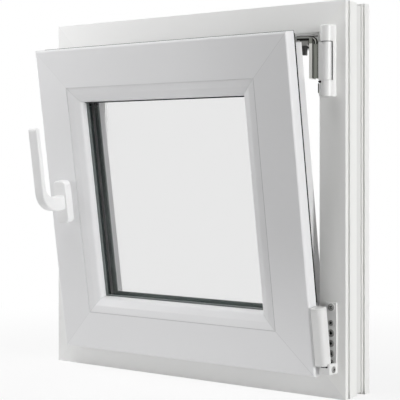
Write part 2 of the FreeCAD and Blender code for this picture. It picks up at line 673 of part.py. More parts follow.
def build_stay():
    """Knuckle with its leaf, the flat arm with its block, and the stud that slides in the sash's rail."""
    angle = stay_angle()
    start = FRAME_HEIGHT - BEARING_TOP_GAP - BEARING_HEIGHT + BEARING_END_HEIGHT + KNUCKLE_GAP
    height = BEARING_HEIGHT - 2 * BEARING_END_HEIGHT - 2 * KNUCKLE_GAP
    export("stay_knuckle", swung(stay_knuckle(start, height), angle))
    arm_y = SASH_FACE_Y + GROOVE_CENTRE
    arm_low = FRAME_HEIGHT - STAY_TOP_GAP - STAY_THICK
    export("stay_leaf", swung(stay_leaf(start, height, arm_low, arm_y + STAY_WIDTH / 2), angle))
    arm_corners = [
        (LEAF_REACH - LEAF_RIM_WIDTH, arm_y - STAY_WIDTH / 2, 0),
        (STAY_LENGTH + STAY_WIDTH / 2, arm_y - STAY_WIDTH / 2, STAY_END_ROUND),
        (STAY_LENGTH + STAY_WIDTH / 2, arm_y + STAY_WIDTH / 2, STAY_END_ROUND),
        (LEAF_REACH - LEAF_RIM_WIDTH, arm_y + STAY_WIDTH / 2, 0),
    ]
    wire = rounded_wire(arm_corners, lambda v: FreeCAD.Vector(HINGE_X - v.x, v.y, arm_low))
    export("stay_arm", swung(Part.Face(wire).extrude(UP * STAY_THICK), angle))
    middle = HINGE_X - STAY_BLOCK_START - STAY_BLOCK_LENGTH / 2
    side = arm_y - STAY_BLOCK_WIDTH / 2
    block_low = arm_low - STAY_BLOCK_HEIGHT
    holder = block(STAY_BLOCK_LENGTH, STAY_BLOCK_WIDTH, STAY_BLOCK_HEIGHT, middle, side, block_low)
    export("stay_block", swung(holder, angle))
    buffer_low = block_low - STAY_BUFFER_HEIGHT
    buffer = block(STAY_BUFFER_LENGTH, STAY_BLOCK_WIDTH, STAY_BUFFER_HEIGHT, middle, side, buffer_low)
    export("stay_buffer", swung(buffer, angle))
    stud_height = arm_low - tilted_groove().Z + FACEPLATE_THICK
    stud = Part.makeCylinder(
        STAY_STUD_RADIUS,
        stud_height,
        FreeCAD.Vector(HINGE_X - STAY_LENGTH, arm_y, arm_low - stud_height),
        UP,
    )
    export("stay_stud", swung(stud, angle))


def corner_plate():
    """Plate that stands on the bearing block, with its column of screw slots."""
    low = CORNER_BLOCK_LOW + CORNER_BLOCK_HEIGHT
    front = ROOM_FACE - CORNER_PLATE_THICK
    plate = Part.makeBox(
        CORNER_PLATE_WIDTH,
        CORNER_PLATE_THICK,
        CORNER_PLATE_HEIGHT,
        FreeCAD.Vector(CORNER_PLATE_RIGHT - CORNER_PLATE_WIDTH, front, low),
    )
    for i in range(CORNER_SLOT_COUNT):
        middle = low + CORNER_SLOT_FIRST + i * CORNER_SLOT_PITCH
        slot_low = middle - CORNER_SLOT_LENGTH / 2
        slot_x = CORNER_PLATE_RIGHT - CORNER_SLOT_EDGE
        plate = plate.cut(
            block(CORNER_SLOT_WIDTH, CORNER_PLATE_THICK, CORNER_SLOT_LENGTH, slot_x, front, slot_low)
        )
    return plate


def corner_block():
    """Bearing block on the frame, with a cheek beside the cover and the seat of its pin."""
    block_top = CORNER_BLOCK_LOW + CORNER_BLOCK_HEIGHT
    left = SASH_WIDTH / 2 + CORNER_BLOCK_SASH_GAP
    front_y = ROOM_FACE - CORNER_BLOCK_PROUD
    bearing = Part.makeBox(
        CORNER_PLATE_RIGHT - left,
        CORNER_BLOCK_PROUD,
        CORNER_BLOCK_HEIGHT,
        FreeCAD.Vector(left, front_y, CORNER_BLOCK_LOW),
    )
    cheek = Part.makeBox(
        CORNER_CHEEK_THICK,
        CORNER_BLOCK_PROUD - CORNER_PLATE_THICK,
        CORNER_CHEEK_HEIGHT,
        FreeCAD.Vector(CORNER_PLATE_RIGHT - CORNER_CHEEK_THICK, front_y, block_top),
    )
    body = bearing.fuse(cheek).removeSplitter()
    front = [
        e for e in body.Edges
        if e.BoundBox.YMax < front_y + FLAT
        and e.BoundBox.ZLength > FLAT
        and (e.BoundBox.XMin > CORNER_PLATE_RIGHT - FLAT or e.BoundBox.XMax < left + FLAT)
    ]
    body = body.makeFillet(CORNER_BLOCK_ROUND, front)
    foot = FreeCAD.Vector(HINGE_X, HINGE_Y, block_top - CORNER_PIN_SEAT)
    seat = Part.makeCylinder(HINGE_PIN_RADIUS + HINGE_BORE_PLAY, CORNER_PIN_SEAT, foot, UP)
    return body.cut(seat), foot


def build_corner_hinge():
    """Bearing block with its pin and plate on the frame, and the cover on the sash's corner."""
    export("corner_hinge_plate", corner_plate())
    body, foot = corner_block()
    export("corner_hinge_block", body)
    export(
        "corner_hinge_pin",
        Part.makeCylinder(HINGE_PIN_RADIUS, CORNER_PIN_SEAT + CORNER_PIN_REACH, foot, UP),
    )
    sash_edge = SASH_WIDTH / 2
    cover_left = sash_edge + CORNER_COVER_SASH_GAP
    cover_right = cover_left + CORNER_COVER_WIDTH
    cover_front = SASH_FACE_Y - CORNER_COVER_PROUD
    cover_back = ROOM_FACE - CORNER_PLATE_THICK - CORNER_COVER_BACK_GAP
    corners = [
        (cover_left, cover_front, CORNER_COVER_EDGE_ROUND),
        (cover_right, cover_front, CORNER_COVER_ROUND),
        (cover_right, cover_back, CORNER_COVER_EDGE_ROUND),
        (sash_edge, cover_back, 0),
        (sash_edge, cover_front + CORNER_COVER_GROOVE_DEPTH, 0),
        (cover_left, cover_front + CORNER_COVER_GROOVE_DEPTH, 0),
    ]
    wire = rounded_wire(corners, lambda v: FreeCAD.Vector(v.x, v.y, CORNER_COVER_LOW))
    cover = Part.Face(wire).extrude(UP * CORNER_COVER_HEIGHT)
    foot = FreeCAD.Vector(HINGE_X, HINGE_Y, CORNER_COVER_LOW)
    bore = Part.makeCylinder(CORNER_BORE_RADIUS, CORNER_BORE_DEPTH, foot, UP)
    export("corner_hinge_cover", tilted(cover.cut(bore)))


def keep_bar():
    """Keep seated in the frame's rebate, its wall on the room side of the locked cam."""
    cam_front = GROOVE_CENTRE - SASH_PROUD - CAM_RADIUS - KEEP_CAM_PLAY
    base = FRAME_REBATE_LIP_DEPTH + FRAME_FACE - FRAME_REBATE_FLOOR + KEEP_SEAT_PLAY
    corners = [
        (FRAME_REBATE_FLOOR, base, 0),
        (FRAME_FACE, base, 0),
        (FRAME_FACE, cam_front - KEEP_WALL_THICK, 0),
        (FRAME_FACE + KEEP_WALL_HEIGHT, cam_front - KEEP_WALL_THICK, 0),
        (FRAME_FACE + KEEP_WALL_HEIGHT, cam_front, 0),
        (FRAME_FACE + KEEP_PLATE_THICK, cam_front, 0),
        (FRAME_FACE + KEEP_PLATE_THICK, base + KEEP_BASE_WIDTH, 0),
        (FRAME_REBATE_FLOOR, base + KEEP_BASE_WIDTH, 0),
    ]
    return profile_bar(corners, KEEP_LENGTH, ROOM_FACE)


def build_guide_rail(plate_y, groove_y, length, low):
    """Rail on top of the sash with the slot that the stay's stud slides in."""
    rail = block(length, HARDWARE_GROOVE_WIDTH, FACEPLATE_THICK, 0, plate_y, low)
    slot_radius = STAY_STUD_RADIUS + RAIL_SLOT_PLAY
    slot_start = HINGE_X - STAY_LENGTH - RAIL_SLOT_OVERRUN
    slot_end = stay_end().x + RAIL_SLOT_OVERRUN
    for x in (slot_start, slot_end):
        rail = rail.cut(
            Part.makeCylinder(slot_radius, FACEPLATE_THICK, FreeCAD.Vector(x, groove_y, low), UP)
        )
    slot = Part.makeBox(
        slot_end - slot_start,
        2 * slot_radius,
        FACEPLATE_THICK,
        FreeCAD.Vector(slot_start, groove_y - slot_radius, low),
    )
    export("stay_guide_rail", tilted(rail.cut(slot)))


def build_fittings():
    """Faceplates in the sash's hardware groove, locking cams, and the keeps on the frame."""
    groove_y = SASH_FACE_Y + GROOVE_CENTRE
    plate_y = groove_y - HARDWARE_GROOVE_WIDTH / 2
    half_width = SASH_WIDTH / 2 - FLANGE_REACH
    low = SASH_MARGIN + FLANGE_REACH
    high = BODY_TOP
    upright = Part.makeBox(
        FACEPLATE_THICK,
        HARDWARE_GROOVE_WIDTH,
        high - low - 2 * FACEPLATE_END_GAP,
        FreeCAD.Vector(-half_width, plate_y, low + FACEPLATE_END_GAP),
    )
    export("faceplate_handle_side", tilted(upright))
    across = 2 * half_width - 2 * FACEPLATE_END_GAP
    bottom_plate = block(across, HARDWARE_GROOVE_WIDTH, FACEPLATE_THICK, 0, plate_y, low)
    export("faceplate_bottom", tilted(bottom_plate))
    build_guide_rail(plate_y, groove_y, across, high - FACEPLATE_THICK)
    cams = []
    keeps = []
    for height in (low + CAM_INSET, high - CAM_INSET):
        foot = FreeCAD.Vector(-half_width, groove_y, height + CAM_TRAVEL)
        cams.append(Part.makeCylinder(CAM_RADIUS, CAM_HEIGHT, foot, ACROSS * -1))
        keep = keep_bar()
        keep.rotate(ORIGIN, BACK, 90)
        keep.translate(FreeCAD.Vector(-FRAME_WIDTH / 2, 0, height))
        keeps.append(keep)
    export("locking_cams_handle_side", tilted(Part.makeCompound(cams)))
    export("keeps_handle_side", Part.makeCompound(keeps))
    foot = FreeCAD.Vector(-half_width + CAM_INSET, groove_y, low)
    export("locking_cam_bottom", tilted(Part.makeCylinder(CAM_RADIUS, CAM_HEIGHT, foot, UP * -1)))
    keep = keep_bar()
    keep.translate(ACROSS * (CAM_INSET - half_width))
    export("keep_bottom", keep)


os.makedirs("parts", exist_ok=True)
build_frame()
build_sash()
build_glazing()
build_handle()
build_top_bearing()
build_stay()
build_corner_hinge()
build_fittings()
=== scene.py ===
"""White PVC tilt and turn window, tilted open into the room: the finish of each piece and the small
fasteners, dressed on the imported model. Lengths are in metres, with +X towards the hinges, +Y towards
the outside and +Z up."""

import json
import math

import bmesh
import bpy
import numpy as np
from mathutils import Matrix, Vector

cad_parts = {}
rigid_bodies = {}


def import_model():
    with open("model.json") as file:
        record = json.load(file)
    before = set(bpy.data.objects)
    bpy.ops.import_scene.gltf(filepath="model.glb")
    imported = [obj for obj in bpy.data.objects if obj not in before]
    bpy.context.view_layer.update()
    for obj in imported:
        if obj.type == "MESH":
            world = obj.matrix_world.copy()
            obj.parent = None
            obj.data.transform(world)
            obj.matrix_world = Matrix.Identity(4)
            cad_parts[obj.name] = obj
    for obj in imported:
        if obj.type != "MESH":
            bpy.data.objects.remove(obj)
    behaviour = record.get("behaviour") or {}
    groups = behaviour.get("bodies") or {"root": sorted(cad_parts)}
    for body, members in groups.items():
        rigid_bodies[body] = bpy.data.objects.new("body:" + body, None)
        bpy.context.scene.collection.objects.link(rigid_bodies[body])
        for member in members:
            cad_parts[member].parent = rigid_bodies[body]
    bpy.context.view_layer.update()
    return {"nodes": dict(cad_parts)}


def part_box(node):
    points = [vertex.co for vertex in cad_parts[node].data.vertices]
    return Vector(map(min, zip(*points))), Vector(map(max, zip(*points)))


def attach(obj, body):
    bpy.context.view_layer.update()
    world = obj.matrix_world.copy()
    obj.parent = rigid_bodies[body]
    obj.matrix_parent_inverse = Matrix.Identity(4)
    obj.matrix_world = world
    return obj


for leftover in list(bpy.data.objects):
    bpy.data.objects.remove(leftover)
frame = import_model()
nodes = frame["nodes"]

# Frame: four bars of extruded hard PVC, cut at 45 degrees and welded into a ring. The skin is smooth
# and glossy, with faint lines from the die along the bar, long soft waves and a shallow trimmed line
# across each weld. The die lines are finer than a millimetre in the real bar, and 1.6 mm apart here,
# so that they show. The floor of the anchor groove on the outer side is painted a little darker, as
# painted shade in the recess.
MM = 0.001
FRAME_SIZE = 600.0 * MM
FRAME_CENTRE = (0.0, 0.0, FRAME_SIZE / 2)
FRAME_WELD = 0.03
PVC_ROUGHNESS = 0.32
PVC_IOR = 1.54
DIE_LINE_PITCH = 1.6 * MM
DIE_LINE_STRETCH = 0.02
DIE_LINE_HEIGHT = 0.012 * MM
WAVE_LENGTH = 60.0 * MM
WAVE_HEIGHT = 0.05 * MM
WELD_SHADE = "#8C8E8D"
WELD_HALF_WIDTH = 0.7 * MM
WELD_DEPTH = 0.2 * MM
GROOVE_PAINTED_SHADE = "#EBEBE9"
GROOVE_SHADE_BAND = (17.0 * MM, 33.0 * MM)
GROOVE_SHADE_BLEND = 0.6 * MM
GROOVE_REACH = FRAME_SIZE / 2 - 8.0 * MM


def linear(code):
    """Linear colour of a hex code: a channel c is c/12.92 when dark, else ((c + 0.055)/1.055)^2.4."""
    channels = [int(code[at:at + 2], 16) / 255 for at in (1, 3, 5)]
    return (*[c / 12.92 if c <= 0.04045 else ((c + 0.055) / 1.055) ** 2.4 for c in channels], 1.0)


def add(material, kind, values=None, links=None, **settings):
    """Adds one shader node, sets its fields and input values, and links its inputs to given outputs."""
    made = material.node_tree.nodes.new(kind)
    for field, value in settings.items():
        setattr(made, field, value)
    for key, value in (values or {}).items():
        made.inputs[key].default_value = value
    for key, source in (links or {}).items():
        material.node_tree.links.new(source, made.inputs[key])
    return made


def blank(name):
    """A new material with an empty node tree."""
    material = bpy.data.materials.new(name)
    material.use_nodes = True
    material.node_tree.nodes.clear()
    return material


def close(material, shader):
    """Links the finished shader to the material's output."""
    add(material, "ShaderNodeOutputMaterial", links={"Surface": shader.outputs[0]})
    return material


def finish_as(material, *names):
    """Gives CAD nodes this material in place of the plain one they came with."""
    for name in names:
        nodes[name].data.materials.clear()
        nodes[name].data.materials.append(material)


def hairline(material, value, half_width):
    """A mask that is 1 where the value is 0 and falls off to 0 at the half width to either side."""
    size = add(material, "ShaderNodeMath", links={0: value}, operation="ABSOLUTE")
    return add(material, "ShaderNodeMapRange",
               {"From Min": 0.0, "From Max": half_width, "To Min": 1.0, "To Max": 0.0},
               {"Value": size.outputs[0]}, interpolation_type="SMOOTHSTEP")


def ring_place(material, centre, tilt):
    """Place seen from the centre of a ring of bars that is tilted about X, whole and split in three."""
    place = add(material, "ShaderNodeTexCoord")
    ring = add(material, "ShaderNodeMapping", {"Location": centre, "Rotation": (tilt, 0.0, 0.0)},
               {"Vector": place.outputs["Object"]}, vector_type="TEXTURE")
    return ring, add(material, "ShaderNodeSeparateXYZ", links={"Vector": ring.outputs[0]})


def die_drawn(skin, ring, lying):
    """Relief of a die-drawn skin: fine lines, a noise drawn out along the bar, on long soft waves."""
    drawn = (DIE_LINE_STRETCH, 1.0, 1.0) if lying else (1.0, 1.0, DIE_LINE_STRETCH)
    along = add(skin, "ShaderNodeMapping", {"Scale": drawn}, {"Vector": ring.outputs[0]})
    lines = add(skin, "ShaderNodeTexNoise", {"Scale": 1 / DIE_LINE_PITCH, "Detail": 1.0},
                {"Vector": along.outputs[0]})
    waves = add(skin, "ShaderNodeTexNoise", {"Scale": 1 / WAVE_LENGTH, "Detail": 0.0},
                {"Vector": ring.outputs[0]})
    fine = add(skin, "ShaderNodeBump", {"Distance": DIE_LINE_HEIGHT, "Strength": 1.0},
               {"Height": lines.outputs["Fac"]})
    return add(skin, "ShaderNodeBump", {"Distance": WAVE_HEIGHT, "Strength": 1.0},
               {"Height": waves.outputs["Fac"], "Normal": fine.outputs[0]})


def groove_floor(skin, depth, reach):
    """A mask that is 1 on the outer side of the frame within the anchor groove's band of depth."""
    first, last = GROOVE_SHADE_BAND
    begin = add(skin, "ShaderNodeMapRange", {"From Min": first, "From Max": first + GROOVE_SHADE_BLEND},
                {"Value": depth})
    end = add(skin, "ShaderNodeMapRange",
              {"From Min": last, "From Max": last + GROOVE_SHADE_BLEND, "To Min": 1.0, "To Max": 0.0},
              {"Value": depth})
    outer = add(skin, "ShaderNodeMath", {1: GROOVE_REACH}, {0: reach}, operation="GREATER_THAN")
    band = add(skin, "ShaderNodeMath", links={0: begin.outputs[0], 1: end.outputs[0]}, operation="MULTIPLY")
    return add(skin, "ShaderNodeMath", links={0: band.outputs[0], 1: outer.outputs[0]}, operation="MULTIPLY")


def welded_pvc(name, white, centre, tilt, lying, weld_strength, joint_strength=0.0, groove_shade=False,
               lit_side_at=None, fade=None):
    """White PVC of a bar in a mitred ring. Seen from the ring's centre, the distance to the corner's
    weld is (|x| - |z|)/sqrt(2), and a bead's joint is a hairline where the larger of |x| and |z| is
    the beads' outline. A lying bar runs along X, another one along Z. Where the anchor groove is asked
    for, its floor on the frame's outer side gets a darker white, as painted shade. Where |x| is beyond
    the given reach, the skin keeps a lighter white, as painted light on the side that faces the lamp.
    With fade, which is (white, first, last), it passes to another white between two places along the
    bar, as painted shade."""
    skin = blank(name)
    ring, split = ring_place(skin, centre, tilt)
    across = add(skin, "ShaderNodeMath", links={0: split.outputs["X"]}, operation="ABSOLUTE")
    upright = add(skin, "ShaderNodeMath", links={0: split.outputs["Z"]}, operation="ABSOLUTE")
    pair = {0: across.outputs[0], 1: upright.outputs[0]}
    apart = add(skin, "ShaderNodeMath", links=pair, operation="SUBTRACT")
    reach = add(skin, "ShaderNodeMath", links=pair, operation="MAXIMUM")
    weld = hairline(skin, apart.outputs[0], WELD_HALF_WIDTH * math.sqrt(2))
    relief = add(skin, "ShaderNodeBump", {"Distance": WELD_DEPTH, "Strength": weld_strength},
                 {"Height": weld.outputs[0], "Normal": die_drawn(skin, ring, lying).outputs[0]}, invert=True)
    shade = add(skin, "ShaderNodeMath", {1: weld_strength}, {0: weld.outputs[0]}, operation="MULTIPLY")
    if joint_strength:
        offset = add(skin, "ShaderNodeMath", {1: BEAD_OUTLINE}, {0: reach.outputs[0]}, operation="SUBTRACT")
        joint = hairline(skin, offset.outputs[0], JOINT_HALF_WIDTH)
        joint_shade = add(skin, "ShaderNodeMath", {1: joint_strength}, {0: joint.outputs[0]},
                          operation="MULTIPLY")
        shade = add(skin, "ShaderNodeMath", links={0: shade.outputs[0], 1: joint_shade.outputs[0]},
                    operation="MAXIMUM")
    tint = add(skin, "ShaderNodeMix", {"A": linear(white), "B": linear(WELD_SHADE)},
               {"Factor": shade.outputs[0]}, data_type="RGBA")
    if fade:
        second, first, last = fade
        passed = add(skin, "ShaderNodeMapRange", {"From Min": first, "From Max": last},
                     {"Value": split.outputs["X" if lying else "Z"]}, interpolation_type="SMOOTHSTEP")
        faded = add(skin, "ShaderNodeMix", {"A": linear(white), "B": linear(second)},
                    {"Factor": passed.outputs[0]}, data_type="RGBA")
        skin.node_tree.links.new(faded.outputs["Result"], tint.inputs["A"])
    # Painted shade: the floor of the anchor groove is given a darker white.
    if groove_shade:
        groove_shade_mask = groove_floor(skin, split.outputs["Y"], reach.outputs[0])
        tint = add(skin, "ShaderNodeMix", {"B": linear(GROOVE_PAINTED_SHADE)},
                   {"Factor": groove_shade_mask.outputs[0], "A": tint.outputs["Result"]}, data_type="RGBA")
    # Painted light: beyond the reach, the flange's side keeps a lighter white than the shaded front.
    if lit_side_at:
        beyond = add(skin, "ShaderNodeMath", {1: lit_side_at}, {0: across.outputs[0]}, operation="GREATER_THAN")
        tint = add(skin, "ShaderNodeMix", {"B": linear(LIT_SIDE_WHITE)},
                   {"Factor": beyond.outputs[0], "A": tint.outputs["Result"]}, data_type="RGBA")
    body = add(skin, "ShaderNodeBsdfPrincipled", {"Roughness": PVC_ROUGHNESS, "IOR": PVC_IOR},
               {"Base Color": tint.outputs["Result"], "Normal": relief.outputs[0]})
    return close(skin, body)


# Each frame bar has its own white, a little lighter or darker, as painted light and shade.
for node, white, lying in (
    ("frame_head", "#FAFAF9", True),
    ("frame_sill", "#F5F5F4", True),
    ("frame_jamb_handle_side", "#F7F7F6", False),
    ("frame_jamb_hinge_side", "#FAFAF8", False),
):
    finish_as(welded_pvc(f"pvc_{node}", white, FRAME_CENTRE, 0.0, lying, FRAME_WELD, groove_shade=True), node)

# Sash: the same extruded PVC in a smaller welded ring, tilted into the room about its bottom edge.
# The glazing beads meet it in a fine open joint. Each bar has its own white, as painted light and
# shade, and the side of the hinge side's flange keeps a lighter white, as painted light.
# The photo's light falls off towards the upper hinge corner, so the skin is toned down a little there.
SASH_OPENING = 73.4 * MM
SASH_ABOVE_AXIS = 491.0 * MM
TILT = math.asin(SASH_OPENING / SASH_ABOVE_AXIS)
TILT_AXIS = (10.0 * MM, 50.0 * MM)
BEAD_OUTLINE = 194.0 * MM
JOINT_HALF_WIDTH = 0.9 * MM
LIT_SIDE_WHITE = "#F4F4F5"
FLANGE_EDGE = 257.5 * MM
TOP_FADE = (20.0 * MM, 250.0 * MM)
HINGE_FADE = (-250.0 * MM, -20.0 * MM)


def tilted(x, y, z):
    """Place of a point of the closed sash once the sash is turned about its bottom axis."""
    dy, dz = y - TILT_AXIS[0], z - TILT_AXIS[1]
    turned_y = TILT_AXIS[0] + dy * math.cos(TILT) - dz * math.sin(TILT)
    turned_z = TILT_AXIS[1] + dy * math.sin(TILT) + dz * math.cos(TILT)
    return x, turned_y, turned_z


SASH_CENTRE = tilted(0.0, 0.0, FRAME_SIZE / 2)
# Each bar's white and its fade are painted light and shade.
for node, white, lying, weld_strength, joint_strength, lit_side_at, fade in (
    ("sash_top_rail", "#EFEFF0", True, 0.12, 0.3, None, ("#E1E1E2", *TOP_FADE)),
    ("sash_bottom_rail", "#F4F4F5", True, 0.2, 0.42, None, None),
    ("sash_stile_handle_side", "#F1F1F2", False, 0.06, 0.2, None, None),
    ("sash_stile_hinge_side", "#F3F3F4", False, 0.34, 1.0, FLANGE_EDGE, ("#DFDFE0", *HINGE_FADE)),
):
    finish_as(welded_pvc(f"pvc_{node}", white, SASH_CENTRE, TILT, lying, weld_strength, joint_strength,
                         lit_side_at=lit_side_at, fade=fade), node)

# Glazing beads: thin strips of the same PVC that hold the glass, mitred but not welded, and clipped
# into the sash by hand. Their joint with the sash is clearest on the hinge side.
BEAD_MITRE = 0.24
# Each bead has its own white, and the top and hinge side beads fade darker towards the upper hinge corner, as
# painted light and shade.
for node, white, lying, joint_strength, fade in (
    ("glazing_bead_top", "#F3F3F4", True, 0.3, ("#E6E6E7", *TOP_FADE)),
    ("glazing_bead_bottom", "#F6F6F7", True, 0.38, None),
    ("glazing_bead_handle_side", "#F0F0F1", False, 0.2, None),
    ("glazing_bead_hinge_side", "#F0F0F1", False, 1.0, ("#DCDCDD", *HINGE_FADE)),
):
    finish_as(welded_pvc(f"pvc_{node}", white, SASH_CENTRE, TILT, lying, BEAD_MITRE, joint_strength,
                         fade=fade), node)

# Double glazing: two panes of clear float glass, 4 mm thick, set in rubber behind the beads. Light
# for shadows goes straight through them. Faint smears from cleaning soften the gloss, which is kept
# low, because a plain white studio would make the glass a mirror.
GLASS_TINT = "#F3F3F3"
GLASS_IOR = 1.52
GLASS_GLOSS = 0.1
SMEAR_SIZE = 90.0 * MM
SMEAR_SHARE = (0.3, 0.7)
SMEAR_ROUGHNESS = 0.02
pane = blank("float_glass")
pane_place = add(pane, "ShaderNodeTexCoord")
smears = add(pane, "ShaderNodeTexNoise", {"Scale": 1 / SMEAR_SIZE, "Detail": 3.0},
             {"Vector": pane_place.outputs["Object"]})
pane_roughness = add(pane, "ShaderNodeMapRange",
                     {"From Min": SMEAR_SHARE[0], "From Max": SMEAR_SHARE[1], "To Min": 0.0,
                      "To Max": SMEAR_ROUGHNESS}, {"Value": smears.outputs["Fac"]})
clear = add(pane, "ShaderNodeBsdfPrincipled",
            {"Base Color": linear(GLASS_TINT), "IOR": GLASS_IOR, "Transmission Weight": 1.0,
             "Specular Tint": (GLASS_GLOSS, GLASS_GLOSS, GLASS_GLOSS, 1.0)},
            {"Roughness": pane_roughness.outputs[0]})
through = add(pane, "ShaderNodeBsdfTransparent", {"Color": linear(GLASS_TINT)})
pane_ray = add(pane, "ShaderNodeLightPath")
pane_mix = add(pane, "ShaderNodeMixShader",
               links={0: pane_ray.outputs["Is Shadow Ray"], 1: clear.outputs[0], 2: through.outputs[0]})
close(pane, pane_mix)
finish_as(pane, "glass_pane_room_side", "glass_pane_outside")

# Spacer: a dark roll-formed bar between the panes, with fine ribs along it. The sealant behind it
# shows the same ribs. They are 1 mm apart in the real bar and 2.7 mm here, so that they show. Both
# are black at their upper corners, with a pale hairline where the black ends.
SPACER_SHADES = ("#3A4342", "#262D2C")
SEALANT_SHADES = ("#66726F", "#444F4D")
SPACER_ROUGHNESS = 0.5
SPACER_IOR = 1.45
RIB_PITCH = 2.7 * MM
UPPER_CORNER_BLACK = "#0A0C0C"
UPPER_CORNER_EDGE = 158.0 * MM
UPPER_CORNER_LINE_GREY = "#8E9996"
UPPER_CORNER_LINE_HALF_WIDTH = 0.7 * MM


def ribbed_bar(name, light, dark):
    """Bar whose grey follows a sine across its depth. It is black where the smaller of |x| and z, from
    the ring's centre, is beyond a given edge, which only the upper corners reach, with a pale hairline
    on that edge."""
    bar = blank(name)
    split = ring_place(bar, SASH_CENTRE, TILT)[1]
    ribs = add(bar, "ShaderNodeMath", {1: 2 * math.pi / RIB_PITCH}, {0: split.outputs["Y"]},
               operation="MULTIPLY")
    wave = add(bar, "ShaderNodeMath", links={0: ribs.outputs[0]}, operation="SINE")
    share = add(bar, "ShaderNodeMapRange", {"From Min": -1.0, "From Max": 1.0}, {"Value": wave.outputs[0]})
    ribbed = add(bar, "ShaderNodeMix", {"A": linear(light), "B": linear(dark)},
                 {"Factor": share.outputs[0]}, data_type="RGBA")
    across = add(bar, "ShaderNodeMath", links={0: split.outputs["X"]}, operation="ABSOLUTE")
    reach = add(bar, "ShaderNodeMath", links={0: across.outputs[0], 1: split.outputs["Z"]},
                operation="MINIMUM")
    # Black at the upper corners, with a pale hairline where it ends.
    key = add(bar, "ShaderNodeMath", {1: UPPER_CORNER_EDGE}, {0: reach.outputs[0]}, operation="GREATER_THAN")
    cornered = add(bar, "ShaderNodeMix", {"B": linear(UPPER_CORNER_BLACK)},
                {"Factor": key.outputs[0], "A": ribbed.outputs["Result"]}, data_type="RGBA")
    from_corner_edge = add(bar, "ShaderNodeMath", {1: UPPER_CORNER_EDGE}, {0: reach.outputs[0]}, operation="SUBTRACT")
    joint = hairline(bar, from_corner_edge.outputs[0], UPPER_CORNER_LINE_HALF_WIDTH)
    jointed = add(bar, "ShaderNodeMix", {"B": linear(UPPER_CORNER_LINE_GREY)},
                  {"Factor": joint.outputs[0], "A": cornered.outputs["Result"]}, data_type="RGBA")
    body = add(bar, "ShaderNodeBsdfPrincipled", {"Roughness": SPACER_ROUGHNESS, "IOR": SPACER_IOR},
               {"Base Color": jointed.outputs["Result"]})
    return close(bar, body)


finish_as(ribbed_bar("spacer_bar", *SPACER_SHADES), "glass_spacer")
finish_as(ribbed_bar("ribbed_sealant", *SEALANT_SHADES), "glazing_gasket_outside")

# Seals: black EPDM rubber, extruded and pressed into grooves, matt, with a faint bloom. The gasket of
# the beads is a softer grey rubber with finer spots.
EPDM_SHADES = ("#121414", "#1E2121")
EPDM_BLOOM = 6.0 * MM
GASKET_SHADES = ("#656B6A", "#7A7F7E")
GASKET_SPOTS = 2.0 * MM
BLOOM_SHARE = (0.35, 0.65)
RUBBER_ROUGHNESS = 0.7
RUBBER_IOR = 1.5
RUBBER_GLOSS = 0.25


def matt_rubber(name, dark, light, spots):
    """Matt rubber whose colour is a noise between two greys at the size of its spots."""
    rubber = blank(name)
    place = add(rubber, "ShaderNodeTexCoord")
    bloom = add(rubber, "ShaderNodeTexNoise", {"Scale": 1 / spots, "Detail": 4.0},
                {"Vector": place.outputs["Object"]})
    share = add(rubber, "ShaderNodeMapRange", {"From Min": BLOOM_SHARE[0], "From Max": BLOOM_SHARE[1]},
                {"Value": bloom.outputs["Fac"]})
    tint = add(rubber, "ShaderNodeMix", {"A": linear(dark), "B": linear(light)},
               {"Factor": share.outputs[0]}, data_type="RGBA")
    body = add(rubber, "ShaderNodeBsdfPrincipled",
               {"Roughness": RUBBER_ROUGHNESS, "IOR": RUBBER_IOR, "Specular IOR Level": RUBBER_GLOSS},
               {"Base Color": tint.outputs["Result"]})
    return close(rubber, body)


epdm = matt_rubber("epdm_rubber", *EPDM_SHADES, EPDM_BLOOM)
finish_as(epdm, "frame_seal", "sash_seal", "glass_edge_seal")
finish_as(matt_rubber("grey_glazing_rubber", *GASKET_SHADES, GASKET_SPOTS), "glazing_gasket_room_side")

# Soft edges of the seals, in the same rubber: the lip of the sash's flange seal, which stands behind
# the flange on the hinge side and at the top and closes on the frame, and the thin nose of the
# glazing gasket that shows under the top bead.
LIP_REACH = 257.9 * MM
LIP_DEPTH = -17.4 * MM
LIP_LEVELS = (150.0 * MM, 556.0 * MM)
LIP_TOP = 559.05 * MM
LIP_HALF = (1.5 * MM, 0.75 * MM)
NOSE_REACH = 167.0 * MM
NOSE_DEPTH = -26.3 * MM
NOSE_LEVEL = 467.6 * MM
NOSE_HALF = (1.4 * MM, 0.7 * MM)
OVAL_SIDES = 16
UP = (0.0, 0.0, 1.0)
TO_HINGES = (1.0, 0.0, 0.0)
TO_OUTSIDE = (0.0, 1.0, 0.0)


def solid(name, points, faces, material, smooth=False):
    """Makes a closed mesh of its points and faces, turns its faces outwards and puts it on the object."""
    mesh = bpy.data.meshes.new(name)
    mesh.from_pydata(np.asarray(points).reshape(-1, 3).tolist(), [], faces)
    shell = bmesh.new()
    shell.from_mesh(mesh)
    bmesh.ops.recalc_face_normals(shell, faces=shell.faces)
    shell.to_mesh(mesh)
    shell.free()
    mesh.materials.append(material)
    mesh.polygons.foreach_set("use_smooth", [smooth and len(face) == 4 for face in faces])
    made = bpy.data.objects.new(name, mesh)
    bpy.context.scene.collection.objects.link(made)
    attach(made, "root")
    return made


def skin_over(rows, looped=False):
    """Faces over a grid of rings: quads join each ring to the next one. A flat cap closes each end
    ring, or with looped the last ring joins the first."""
    rings, points = rows.shape[:2]
    index = np.arange(rings * points).reshape(rings, points)
    onward = np.roll(index, -1, axis=0)
    quads = np.stack([index, np.roll(index, -1, axis=1), np.roll(onward, -1, axis=1), onward], axis=-1)
    if looped:
        return quads.reshape(-1, 4).tolist()
    return quads[:-1].reshape(-1, 4).tolist() + [index[0].tolist(), index[-1].tolist()]


